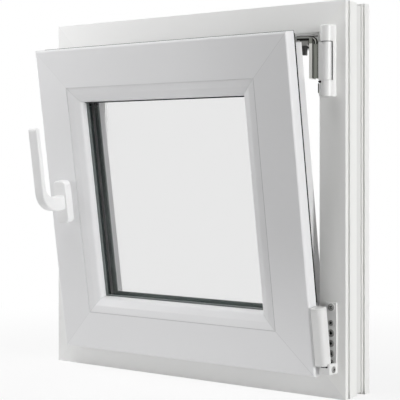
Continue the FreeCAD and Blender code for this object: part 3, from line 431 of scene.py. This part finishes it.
def all_tilted(points):
    """Turns an array of points of the closed sash about its bottom axis."""
    return np.stack(tilted(points[..., 0], points[..., 1], points[..., 2]), axis=-1)


def rubber_edge(name, start, stop, wide_way, half):
    """Oval bar between two points of the closed sash: half is (half width, half depth), with the width
    along a given direction and the depth towards the outside."""
    sweep = np.linspace(0.0, 2 * math.pi, OVAL_SIDES, endpoint=False)[:, None]
    oval = half[0] * np.cos(sweep) * np.array(wide_way) + half[1] * np.sin(sweep) * np.array(TO_OUTSIDE)
    rows = all_tilted(np.stack([np.array(start) + oval, np.array(stop) + oval]))
    solid(name, rows, skin_over(rows), epdm, smooth=True)


rubber_edge("sash_seal_lip_hinge_side", (LIP_REACH, LIP_DEPTH, LIP_LEVELS[0]),
            (LIP_REACH, LIP_DEPTH, LIP_LEVELS[1]), TO_HINGES, LIP_HALF)
rubber_edge("sash_seal_lip_top", (-LIP_REACH, LIP_DEPTH, LIP_TOP), (LIP_REACH, LIP_DEPTH, LIP_TOP),
            UP, LIP_HALF)
rubber_edge("glazing_gasket_nose", (-NOSE_REACH, NOSE_DEPTH, NOSE_LEVEL),
            (NOSE_REACH, NOSE_DEPTH, NOSE_LEVEL), UP, NOSE_HALF)

# Handle: die-cast aluminium, screwed through the stile and powder coated white, which leaves a faint
# orange peel.
COAT_SHADES = ("#F5F5F5", "#EFEFEF")
COAT_ROUGHNESS = 0.35
PEEL_SIZE = 1.2 * MM
PEEL_HEIGHT = 0.02 * MM
PLASTIC_IOR = 1.5


def grained(name, shades, grain, detail, roughness, relief=None):
    """A finish whose colour runs between two shades as a noise of the grain's size, which also lifts
    the surface where a relief is given."""
    finish = blank(name)
    place = add(finish, "ShaderNodeTexCoord")
    noise = add(finish, "ShaderNodeTexNoise", {"Scale": 1 / grain, "Detail": detail},
                {"Vector": place.outputs["Object"]})
    tint = add(finish, "ShaderNodeMix", {"A": linear(shades[0]), "B": linear(shades[1])},
               {"Factor": noise.outputs["Fac"]}, data_type="RGBA")
    body = add(finish, "ShaderNodeBsdfPrincipled", {"Roughness": roughness, "IOR": PLASTIC_IOR},
               {"Base Color": tint.outputs["Result"]})
    if relief:
        lifted = add(finish, "ShaderNodeBump", {"Distance": relief, "Strength": 1.0},
                     {"Height": noise.outputs["Fac"]})
        finish.node_tree.links.new(lifted.outputs[0], body.inputs["Normal"])
    return close(finish, body)


coat = grained("white_powder_coat", COAT_SHADES, PEEL_SIZE, 1.0, COAT_ROUGHNESS, PEEL_HEIGHT)
finish_as(coat, "handle_rosette", "handle_lever")

# Hinge covers and the corner hinge's castings: moulded white caps, pressed over the steel, with a soft
# sheen and a fine grain from the mould, which is coarser here than in the real caps, so that it shows.
CAP_SHADES = ("#F2F2F1", "#EBEBEA")
CAP_ROUGHNESS = 0.33
CAP_GRAIN = 0.9 * MM
CAP_GRAIN_HEIGHT = 0.015 * MM
cap = grained("moulded_white_cap", CAP_SHADES, CAP_GRAIN, 2.0, CAP_ROUGHNESS, CAP_GRAIN_HEIGHT)
finish_as(cap, "stay_bearing_bracket", "stay_knuckle", "corner_hinge_plate", "corner_hinge_block",
          "corner_hinge_cover")

# Bearing washer: a thin black nylon ring between the knuckle and the upper cap of the top bearing,
# and a strip of the same nylon that the knuckle rubs on beside the bearing's wall. Their black also
# stands in for the shade in the narrow gaps beside the knuckle, as painted shade.
NYLON_SHADES = ("#141414", "#1D1D1D")
NYLON_SPOTS = 3.0 * MM
HINGE_AXIS = (273.5 * MM, -27.2 * MM)
WASHER_RADII = (5.0 * MM, 8.25 * MM)
WASHER_LEVELS = (537.5 * MM, 538.7 * MM)
WASHER_ROUND = 0.3 * MM
STRIP_BOX = (281.3 * MM, 282.5 * MM, -26.5 * MM, -24.0 * MM)
STRIP_ROUND = 0.5 * MM
STRIP_LEVELS = (480.2 * MM, 537.8 * MM)
CORNER_STEPS = 7
FINE_SIDES = 64
COARSE_SIDES = 32


def rounded_ring(left, right, front, back, radii):
    """Outline of a box with four rounded corners, from front left round by the right: each corner is
    a quarter circle of its own radius."""
    corners = ((left, front, 1, 1, math.pi), (right, front, -1, 1, 1.5 * math.pi),
               (right, back, -1, -1, 0.0), (left, back, 1, -1, 0.5 * math.pi))
    arcs = []
    for (x, y, inward_x, inward_y, first), radius in zip(corners, radii):
        sweep = first + np.linspace(0.0, math.pi / 2, CORNER_STEPS)
        arcs.append(np.column_stack([x + inward_x * radius + radius * np.cos(sweep),
                                     y + inward_y * radius + radius * np.sin(sweep)]))
    return np.concatenate(arcs)


def turned(name, centre, outward, sideways, profile, material, sides=COARSE_SIDES, looped=False,
           smooth=True):
    """Solid of revolution about the outward line: its profile is (radius, height) from end to end, or
    looped all round for a ring."""
    sweep = np.linspace(0.0, 2 * math.pi, sides, endpoint=False)[:, None]
    outward, sideways = np.array(outward), np.array(sideways)
    spoke = sideways * np.cos(sweep) + np.cross(outward, sideways) * np.sin(sweep)
    rows = np.array(centre) + np.stack([radius * spoke + height * outward for radius, height in profile])
    solid(name, rows, skin_over(rows, looped), material, smooth)


def upright_bar(name, box, radius, levels, material):
    """Upright bar between two levels: its outline is a box, (left, right, front, back), with round
    corners."""
    outline = rounded_ring(*box, (radius,) * 4)
    rows = np.stack([np.column_stack([outline, np.full(len(outline), level)]) for level in levels])
    solid(name, rows, skin_over(rows), material)


nylon = matt_rubber("black_nylon_and_gap_shade", *NYLON_SHADES, NYLON_SPOTS)
turned("bearing_washer_gap_shade", (*HINGE_AXIS, 0.0), UP, TO_HINGES,
       rounded_ring(*WASHER_RADII, *WASHER_LEVELS, (WASHER_ROUND,) * 4), nylon,
       FINE_SIDES, looped=True, smooth=False)
upright_bar("bearing_slide_strip_gap_shade", STRIP_BOX, STRIP_ROUND, STRIP_LEVELS, nylon)

# Pin clip: a small white clip, moulded in plastic and snapped on the sash side of the bearing's lower
# cap, with a black spring edge and an oval head.
CLIP_HEAD_FOOT = (266.5 * MM, -35.2 * MM, 475.6 * MM)
CLIP_HEAD_PROFILE = np.array([(1.0, 0.0), (2.6, 0.9), (3.0, 1.9), (2.6, 2.9), (1.0, 3.8)]) * MM
CLIP_BOX = (264.5 * MM, 268.5 * MM, -36.2 * MM, -33.0 * MM)
CLIP_ROUND = 1.2 * MM
CLIP_LEVELS = (456.0 * MM, 474.5 * MM)
SPRING_BOX = (263.7 * MM, 264.7 * MM, -36.8 * MM, -35.2 * MM)
SPRING_ROUND = 0.4 * MM
SPRING_LEVELS = (460.5 * MM, 475.0 * MM)
turned("bearing_clip_head", CLIP_HEAD_FOOT, UP, TO_HINGES, CLIP_HEAD_PROFILE, nylon)
upright_bar("bearing_clip_body", CLIP_BOX, CLIP_ROUND, CLIP_LEVELS, cap)
upright_bar("bearing_clip_strip", SPRING_BOX, SPRING_ROUND, SPRING_LEVELS, nylon)

# Stay arm, studs, pins, keeps, cams and faceplates: pressed and turned steel, screwed or riveted on,
# zinc plated, which gives the metal a soft spangle of a few millimetres.
ZINC_SHADES = ("#9C9E9A", "#848682")
SHADED_ZINC_SHADES = ("#A2A29F", "#8C8C89")
DARK_ZINC_SHADES = ("#2E2E2C", "#1E1E1C")
SPANGLE_SIZE = 4.0 * MM
SPANGLE_ROUGHNESS = (0.28, 0.45)


def zinc_plated(name, bright, dull):
    """Zinc on steel: metal whose colour and roughness follow the spangle."""
    zinc = blank(name)
    place = add(zinc, "ShaderNodeTexCoord")
    spangle = add(zinc, "ShaderNodeTexNoise", {"Scale": 1 / SPANGLE_SIZE, "Detail": 3.0},
                  {"Vector": place.outputs["Object"]})
    tint = add(zinc, "ShaderNodeMix", {"A": linear(bright), "B": linear(dull)},
               {"Factor": spangle.outputs["Fac"]}, data_type="RGBA")
    roughness = add(zinc, "ShaderNodeMapRange",
                    {"To Min": SPANGLE_ROUGHNESS[0], "To Max": SPANGLE_ROUGHNESS[1]},
                    {"Value": spangle.outputs["Fac"]})
    body = add(zinc, "ShaderNodeBsdfPrincipled", {"Metallic": 1.0},
               {"Base Color": tint.outputs["Result"], "Roughness": roughness.outputs[0]})
    return close(zinc, body)


finish_as(zinc_plated("zinc_plated_steel", *ZINC_SHADES), "stay_arm", "stay_stud", "stay_bearing_pin",
          "stay_guide_rail", "faceplate_bottom", "faceplate_handle_side", "locking_cams_handle_side",
          "locking_cam_bottom", "keeps_handle_side", "keep_bottom", "corner_hinge_pin")
finish_as(zinc_plated("zinc_in_shade", *SHADED_ZINC_SHADES), "stay_block")
dark_zinc = zinc_plated("dark_zinc", *DARK_ZINC_SHADES)

# Stay leaf: a pressed steel plate fixed to the knuckle, zinc plated. It is painted dark towards the
# joint, as painted shade from the knuckle, with darker streaks up the plate, a painted shade line
# beside the rim and a painted highlight on the rim, the lit face of its bent edge.
STAY_SWING = math.radians(21.0737)
LEAF_STEEL = "#A6A8A1"
LEAF_SHADE_DARK = "#161714"
LEAF_STREAK = "#55574F"
LEAF_LIT_RIM = "#E0E0DB"
LEAF_LINE_SHADE = "#2C2D2A"
LEAF_ROUGHNESS = 0.4
LEAF_RIM = -22.6 * MM
LEAF_RIM_TOP = 536.0 * MM
LEAF_SHADE_BEGIN = -17.5 * MM
LEAF_JOINT = -13.0 * MM
LEAF_LINE = -22.2 * MM
LEAF_LINE_HALF_WIDTH = 1.3 * MM
STREAK_WIDTH = 2.0 * MM
STREAK_STRETCH = 0.06
leaf = blank("leaf_painted_light_and_shade")
leaf_place = add(leaf, "ShaderNodeTexCoord")
leaf_axis = add(leaf, "ShaderNodeMapping",
                {"Location": (*HINGE_AXIS, 0.0), "Rotation": (0.0, 0.0, STAY_SWING)},
                {"Vector": leaf_place.outputs["Object"]}, vector_type="TEXTURE")
leaf_split = add(leaf, "ShaderNodeSeparateXYZ", links={"Vector": leaf_axis.outputs[0]})
leaf_along, leaf_level = leaf_split.outputs["X"], leaf_split.outputs["Z"]
# Painted shade, darker towards the joint.
leaf_shade_share = add(leaf, "ShaderNodeMapRange", {"From Min": LEAF_SHADE_BEGIN, "From Max": LEAF_JOINT},
             {"Value": leaf_along})
shaded_steel = add(leaf, "ShaderNodeMix", {"A": linear(LEAF_STEEL), "B": linear(LEAF_SHADE_DARK)},
              {"Factor": leaf_shade_share.outputs[0]}, data_type="RGBA")
drawn_up = add(leaf, "ShaderNodeMapping", {"Scale": (1.0, 1.0, STREAK_STRETCH)},
               {"Vector": leaf_axis.outputs[0]})
streaks = add(leaf, "ShaderNodeTexNoise", {"Scale": 1 / STREAK_WIDTH, "Detail": 2.0},
              {"Vector": drawn_up.outputs[0]})
streaked = add(leaf, "ShaderNodeMix", {"B": linear(LEAF_STREAK)},
               {"Factor": streaks.outputs["Fac"], "A": shaded_steel.outputs["Result"]}, data_type="RGBA")
# Painted highlight on the rim, below the top of the leaf.
on_rim = add(leaf, "ShaderNodeMath", {1: LEAF_RIM}, {0: leaf_along}, operation="LESS_THAN")
below_top = add(leaf, "ShaderNodeMath", {1: LEAF_RIM_TOP}, {0: leaf_level}, operation="LESS_THAN")
lit_rim_mask = add(leaf, "ShaderNodeMath", links={0: on_rim.outputs[0], 1: below_top.outputs[0]},
           operation="MULTIPLY")
rimmed = add(leaf, "ShaderNodeMix", {"B": linear(LEAF_LIT_RIM)},
             {"Factor": lit_rim_mask.outputs[0], "A": streaked.outputs["Result"]}, data_type="RGBA")
# Painted shade line beside the rim.
from_line = add(leaf, "ShaderNodeMath", {1: LEAF_LINE}, {0: leaf_along}, operation="SUBTRACT")
leaf_line = hairline(leaf, from_line.outputs[0], LEAF_LINE_HALF_WIDTH)
leaf_tint = add(leaf, "ShaderNodeMix", {"B": linear(LEAF_LINE_SHADE)},
                {"Factor": leaf_line.outputs[0], "A": rimmed.outputs["Result"]}, data_type="RGBA")
leaf_body = add(leaf, "ShaderNodeBsdfPrincipled", {"Metallic": 1.0, "Roughness": LEAF_ROUGHNESS},
                {"Base Color": leaf_tint.outputs["Result"]})
close(leaf, leaf_body)
finish_as(leaf, "stay_leaf")

# Lines round the leaf's bend: three thin round bars, two dark as painted shade and one bright as a
# painted highlight, that bend from the arm down into the leaf round one corner. Each is a round bar
# carried along a quarter circle and a straight.
FOLD_CENTRE = (24.4 * MM, 538.4 * MM)
FOLD_FRONT = 4.6 * MM
FOLD_DROP = 3.0 * MM
FOLD_BEND_STEPS = 14
FOLD_SIDES = 8
HIGHLIGHT_ZINC_SHADES = ("#E2E2DE", "#CFCFCB")


def swung(points):
    """Turns points given as (along the leaf, depth, height) from the hinge axis into their place."""
    along, depth, height = points[..., 0], points[..., 1], points[..., 2]
    x = HINGE_AXIS[0] - along * math.cos(STAY_SWING) - depth * math.sin(STAY_SWING)
    y = HINGE_AXIS[1] - along * math.sin(STAY_SWING) + depth * math.cos(STAY_SWING)
    return np.stack([x, y, height], axis=-1)


def stay_fold(name, bend_radius, bar_radius, metal):
    """Round bar round a corner: its middle line comes in level, turns down through a quarter circle
    and drops, and its section stands square to that line."""
    bend = np.linspace(math.pi / 2, 0.0, FOLD_BEND_STEPS)
    middle_along, middle_height = FOLD_CENTRE
    along = np.concatenate([[middle_along + FOLD_DROP], middle_along - bend_radius * np.cos(bend),
                            [middle_along - bend_radius]])
    height = np.concatenate([[middle_height + bend_radius], middle_height + bend_radius * np.sin(bend),
                             [middle_height - FOLD_DROP]])
    step_along, step_height = np.gradient(along), np.gradient(height)
    length = np.hypot(step_along, step_height)
    girth = np.linspace(0.0, 2 * math.pi, FOLD_SIDES, endpoint=False)
    rows = np.stack([
        along[:, None] - bar_radius * (step_height / length)[:, None] * np.cos(girth),
        np.broadcast_to(FOLD_FRONT - bar_radius * np.sin(girth), (len(along), len(girth))),
        height[:, None] + bar_radius * (step_along / length)[:, None] * np.cos(girth),
    ], axis=-1)
    solid(name, swung(rows), skin_over(rows), metal, smooth=True)


highlight_zinc = zinc_plated("highlight_zinc", *HIGHLIGHT_ZINC_SHADES)
for name, bend_radius, bar_radius, metal in (
    ("stay_bend_shade_outer", 8.2 * MM, 0.8 * MM, dark_zinc),
    ("stay_bend_highlight", 6.3 * MM, 0.6 * MM, highlight_zinc),
    ("stay_bend_shade_inner", 4.4 * MM, 0.8 * MM, dark_zinc),
):
    stay_fold(name, bend_radius, bar_radius, metal)

# Folded edges of the stay arm: the steel strip is bent down along its front, where two thin bars of
# dark zinc run, and two dark rivets hold the small block under it.
EDGE_DEPTHS = (11.2 * MM, 12.2 * MM)
EDGE_ROUND = 0.4 * MM
RIVET_PLACES = ((40.7 * MM, 15.0 * MM, 541.0 * MM), (33.0 * MM, 15.0 * MM, 541.0 * MM))
RIVET_PROFILE = np.array([(1.6, -0.2), (1.6, 0.2), (1.3, 0.6), (0.7, 0.8)]) * MM
for name, levels, ends in (
    ("stay_arm_fold", (541.8 * MM, 545.0 * MM), (28.0 * MM, 49.0 * MM)),
    ("stay_arm_edge", (547.4 * MM, 548.4 * MM), (16.0 * MM, 49.0 * MM)),
):
    edge = rounded_ring(*EDGE_DEPTHS, *levels, (EDGE_ROUND,) * 4)
    edge_rows = np.stack([np.column_stack([np.full(len(edge), along), edge]) for along in ends])
    solid(name, swung(edge_rows), skin_over(edge_rows), dark_zinc)
origin, to_front, along_arm = swung(np.array([(0.0, 0.0, 0.0), (0.0, -1.0, 0.0), (1.0, 0.0, 0.0)]))
for number, place in enumerate(RIVET_PLACES):
    turned(f"stay_block_rivet_{number + 1}", swung(np.array(place)), to_front - origin, along_arm - origin,
           RIVET_PROFILE, dark_zinc)

# Buffer under the stay arm: a block moulded in dark plastic and pushed on the steel, with the fine
# grain of its mould.
BUFFER_SHADES = ("#414140", "#313130")
BUFFER_GRAIN = 1.0 * MM
BUFFER_ROUGHNESS = 0.5
finish_as(grained("dark_buffer_plastic", BUFFER_SHADES, BUFFER_GRAIN, 2.0, BUFFER_ROUGHNESS), "stay_buffer")

# Corner hinge screws: countersunk chromated steel screws with a cross recess, which hold the plate to
# the frame through its slots, and one in the side of the bearing block that presses the sash over.
# The metal is mottled, and the cross recess is painted near black, as painted shade in the hollow.
SCREW_SHADES = ("#B6B6B4", "#989896")
SCREW_SPOTS = 1.5 * MM
SCREW_ROUGHNESS = 0.42
RECESS_SHADE_BLACK = "#070707"
PLATE_SCREWS = ((54.0, 5.3), (68.1, 5.3), (83.5, 5.3), (98.9, 5.7), (114.3, 4.3), (138.0, 5.4))
PLATE_SCREW_X = 276.5 * MM
PLATE_FRONT = -20.0 * MM
TO_ROOM = (0.0, -1.0, 0.0)
BLOCK_SCREW = (285.5 * MM, -27.6 * MM, 45.7 * MM)
BLOCK_SCREW_RADIUS = 5.0 * MM
HEAD_RISE = 1.3 * MM
HEAD_CROWN = 0.45
HEAD_SEAT = 0.6 * MM
HEAD_RINGS = np.linspace(0.06, 0.94, 16)
HEAD_SIDES = 48
RECESS_REACH = 0.5
RECESS_ARM = 0.17
RECESS_DEPTH = 1.5 * MM
RECESS_TAPER = 0.6
FIRST_RECESS_ANGLE = 0.5
RECESS_ANGLE_STEP = 0.4
BLOCK_RECESS_ANGLE = 0.3
screw_metal = blank("chromated_screw")
recess = add(screw_metal, "ShaderNodeAttribute", attribute_name="recess")
screw_place = add(screw_metal, "ShaderNodeTexCoord")
screw_spots = add(screw_metal, "ShaderNodeTexNoise", {"Scale": 1 / SCREW_SPOTS, "Detail": 2.0},
                  {"Vector": screw_place.outputs["Object"]})
screw_plain = add(screw_metal, "ShaderNodeMix",
                  {"A": linear(SCREW_SHADES[0]), "B": linear(SCREW_SHADES[1])},
                  {"Factor": screw_spots.outputs["Fac"]}, data_type="RGBA")
# Painted shade: the recess faces are near black.
screw_tint = add(screw_metal, "ShaderNodeMix", {"B": linear(RECESS_SHADE_BLACK)},
                 {"Factor": recess.outputs["Fac"], "A": screw_plain.outputs["Result"]}, data_type="RGBA")
screw_body = add(screw_metal, "ShaderNodeBsdfPrincipled", {"Metallic": 1.0, "Roughness": SCREW_ROUGHNESS},
                 {"Base Color": screw_tint.outputs["Result"]})
close(screw_metal, screw_body)


def screw_head(name, centre, outward, sideways, radius, angle):
    """Disc head on polar rings: its height is rise*(1 - crown*s^4), with s the share of the radius,
    less the depth of a cross recess that tapers outwards, and a last ring drops to the seat."""
    share = np.concatenate([HEAD_RINGS, [1.0, 1.0]])
    sweep = np.linspace(0.0, 2 * math.pi, HEAD_SIDES, endpoint=False)
    s, a = np.meshgrid(share, sweep, indexing="ij")
    arm = np.minimum(np.abs(s * np.cos(a - angle)), np.abs(s * np.sin(a - angle))) < RECESS_ARM
    cross = (arm & (s < RECESS_REACH)).astype(float)
    height = (HEAD_RISE * (1 - HEAD_CROWN * s ** 4)
              - RECESS_DEPTH * cross * (1 - RECESS_TAPER * s / RECESS_REACH))
    height[-1] = -HEAD_SEAT
    outward, sideways = np.array(outward), np.array(sideways)
    upward = np.cross(outward, sideways)
    points = (np.array(centre) + outward * height[..., None]
              + radius * (sideways * (s * np.cos(a))[..., None] + upward * (s * np.sin(a))[..., None]))
    head = solid(name, points, skin_over(points), screw_metal)
    shade = head.data.attributes.new("recess", "FLOAT", "POINT")
    shade.data.foreach_set("value", cross.reshape(-1))


for number, (level, radius) in enumerate(PLATE_SCREWS):
    screw_head(f"corner_plate_screw_{number + 1}", (PLATE_SCREW_X, PLATE_FRONT, level * MM), TO_ROOM,
               TO_HINGES, radius * MM, FIRST_RECESS_ANGLE + RECESS_ANGLE_STEP * number)
screw_head("corner_block_screw", BLOCK_SCREW, TO_HINGES, TO_OUTSIDE, BLOCK_SCREW_RADIUS, BLOCK_RECESS_ANGLE)

# Screw rings: raised rims of the same white plastic, moulded round the top screw of the plate and
# round the screw of the bearing block.
RING_PROFILE = np.array([(5.5, -0.3), (6.7, -0.3), (6.7, 0.3), (6.3, 0.6), (5.8, 0.5), (5.5, 0.2)]) * MM
turned("corner_plate_ring", (PLATE_SCREW_X, PLATE_FRONT, PLATE_SCREWS[-1][0] * MM), TO_ROOM, TO_HINGES,
       RING_PROFILE, cap, FINE_SIDES, looped=True)
turned("corner_block_ring", BLOCK_SCREW, TO_HINGES, TO_OUTSIDE, RING_PROFILE, cap,
       FINE_SIDES, looped=True)

# Pivot boot: a black plastic sleeve on the corner pin between the bearing block and the cover, with
# two black plastic studs beside it that carry the foot of the cover. Their black also stands in for
# the shade in the gap under the cover, as painted shade.
BOOT_PROFILE = np.array([(4.2, 48.7), (5.6, 48.8), (6.0, 50.5), (5.2, 52.5), (5.8, 54.5), (5.6, 56.3),
                         (4.2, 56.6)]) * MM
STUD_PLACES = ((270.7 * MM, -35.0 * MM, 48.6 * MM), (279.2 * MM, -35.0 * MM, 48.6 * MM))
STUD_PROFILE = np.array([(2.0, 0.0), (2.6, 0.5), (2.6, 4.2), (1.8, 4.7)]) * MM
pin_low, pin_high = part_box("corner_hinge_pin")
pin_middle = ((pin_low[0] + pin_high[0]) / 2, (pin_low[1] + pin_high[1]) / 2, 0.0)
turned("corner_pivot_boot_gap_shade", pin_middle, UP, TO_HINGES, BOOT_PROFILE, nylon, FINE_SIDES)
for number, place in enumerate(STUD_PLACES):
    turned(f"corner_cover_stud_gap_shade_{number + 1}", place, UP, TO_HINGES, STUD_PROFILE, nylon)

# Cover lid: a white moulded lid pushed on top of the corner hinge's cover, with a small round along
# its upper edge.
LID_BOX = (262.4 * MM, 280.9 * MM, -42.0 * MM, -25.5 * MM)
LID_RADII = (1.0 * MM, 8.0 * MM, 1.0 * MM, 1.0 * MM)
LID_EDGE = np.array([(144.4, 0.0), (146.4, 0.0), (147.2, 0.25), (147.5, 0.8)]) * MM
INWARDS = np.array([1.0, -1.0, 1.0, -1.0])
lid_outlines = []
for level, inset in LID_EDGE:
    outline = rounded_ring(*(np.array(LID_BOX) + inset * INWARDS), LID_RADII)
    lid_outlines.append(np.column_stack([outline, np.full(len(outline), level)]))
lid_rows = all_tilted(np.stack(lid_outlines))
solid("corner_cover_lid", lid_rows, skin_over(lid_rows), cap, smooth=True)

# Studio: a white floor under the window and a white surround, which the camera, gloss and glass see
# as plain white. The floor keeps a faint shadow near the window and is plain white further off.
FLOOR_HALF = 12.0
FLOOR_WHITE = "#F4F4F4"
FLOOR_GLOW_NEAR = 0.86
FLOOR_FADE = (0.35, 1.1)
WORLD_LIGHT = 0.02
PLAIN_WHITE = (1.0, 1.0, 1.0, 1.0)


def seen(owner):
    """1 for rays from the camera, from gloss and through glass, and 0 for the other light."""
    ray = add(owner, "ShaderNodeLightPath")
    first = add(owner, "ShaderNodeMath",
                links={0: ray.outputs["Is Camera Ray"], 1: ray.outputs["Is Glossy Ray"]}, operation="MAXIMUM")
    both = add(owner, "ShaderNodeMath",
               links={0: first.outputs[0], 1: ray.outputs["Is Transmission Ray"]}, operation="MAXIMUM")
    return both.outputs[0]


floor_mesh = bpy.data.meshes.new("studio_floor")
corners = np.array([(-1.0, -1.0, 0.0), (1.0, -1.0, 0.0), (1.0, 1.0, 0.0), (-1.0, 1.0, 0.0)]) * FLOOR_HALF
floor_mesh.from_pydata(corners.tolist(), [], [(0, 1, 2, 3)])
floor = bpy.data.objects.new("studio_floor", floor_mesh)
bpy.context.scene.collection.objects.link(floor)
paper = blank("floor_paper")
paper_place = add(paper, "ShaderNodeTexCoord")
paper_far = add(paper, "ShaderNodeVectorMath", links={0: paper_place.outputs["Object"]}, operation="LENGTH")
paper_glow_share = add(paper, "ShaderNodeMapRange",
                       {"From Min": FLOOR_FADE[0], "From Max": FLOOR_FADE[1], "To Min": FLOOR_GLOW_NEAR,
                        "To Max": 1.0}, {"Value": paper_far.outputs["Value"]},
                       interpolation_type="SMOOTHSTEP")
paper_share = add(paper, "ShaderNodeMath", links={0: seen(paper), 1: paper_glow_share.outputs[0]},
                  operation="MULTIPLY")
paper_matt = add(paper, "ShaderNodeBsdfDiffuse", {"Color": linear(FLOOR_WHITE)})
paper_glow = add(paper, "ShaderNodeEmission", {"Color": PLAIN_WHITE, "Strength": 1.0})
paper_mix = add(paper, "ShaderNodeMixShader",
                links={0: paper_share.outputs[0], 1: paper_matt.outputs[0], 2: paper_glow.outputs[0]})
close(paper, paper_mix)
floor_mesh.materials.append(paper)
world = bpy.data.worlds.new("white_studio")
world.use_nodes = True
world.node_tree.nodes.clear()
world_strength = add(world, "ShaderNodeMapRange", {"To Min": WORLD_LIGHT, "To Max": 1.0},
                     {"Value": seen(world)})
surround = add(world, "ShaderNodeBackground", {"Color": PLAIN_WHITE},
               {"Strength": world_strength.outputs[0]})
add(world, "ShaderNodeOutputWorld", links={"Surface": surround.outputs[0]})
bpy.context.scene.world = world

# Lamps: square softboxes aimed at the middle of the window. The strongest stands on the right, as in
# the photo, and two stand behind the window for the views from there.
WINDOW_MIDDLE = (0.0, 0.0, 0.3)
for name, place, size, power in (
    ("softbox_right", (6.0, -1.0, 1.2), 2.0, 221.0),
    ("softbox_left", (-3.0, -1.8, 0.6), 1.6, 42.0),
    ("softbox_top", (0.0, -1.2, 2.8), 1.6, 7.0),
    ("softbox_left_top", (-1.8, -0.5, 1.8), 1.0, 5.0),
    ("softbox_overhead", (-0.3, -0.6, 2.2), 1.0, 16.0),
    ("softbox_back", (-1.8, 4.5, 1.2), 2.0, 66.0),
    ("softbox_far_side", (-6.0, 2.0, 1.2), 2.0, 48.0),
):
    lamp = bpy.data.lights.new(name, "AREA")
    lamp.shape = "SQUARE"
    lamp.size = size
    lamp.energy = power
    holder = bpy.data.objects.new(name, lamp)
    bpy.context.scene.collection.objects.link(holder)
    aim = Vector(WINDOW_MIDDLE) - Vector(place)
    holder.location = place
    holder.rotation_euler = aim.to_track_quat("-Z", "Y").to_euler()

# Camera: level, at the photograph's viewing angle, with the picture moved down on the sensor so that
# the window stands in the frame as it does in the photo.
CAMERA_PLACE = (1.25039, -1.58398, 0.35804)
CAMERA_HEADING = 38.065
CAMERA_LENS = 109.4
CAMERA_SENSOR = 36.0
CAMERA_SHIFT = -0.0970
camera_data = bpy.data.cameras.new("camera")
camera_data.sensor_width = CAMERA_SENSOR
camera_data.lens = CAMERA_LENS
camera_data.shift_y = CAMERA_SHIFT
camera = bpy.data.objects.new("camera", camera_data)
camera.location = CAMERA_PLACE
camera.rotation_euler = (math.radians(90.0), 0.0, math.radians(CAMERA_HEADING))
bpy.context.scene.collection.objects.link(camera)
bpy.context.scene.camera = camera

# Colours as written.
bpy.context.scene.view_settings.view_transform = "Standard"
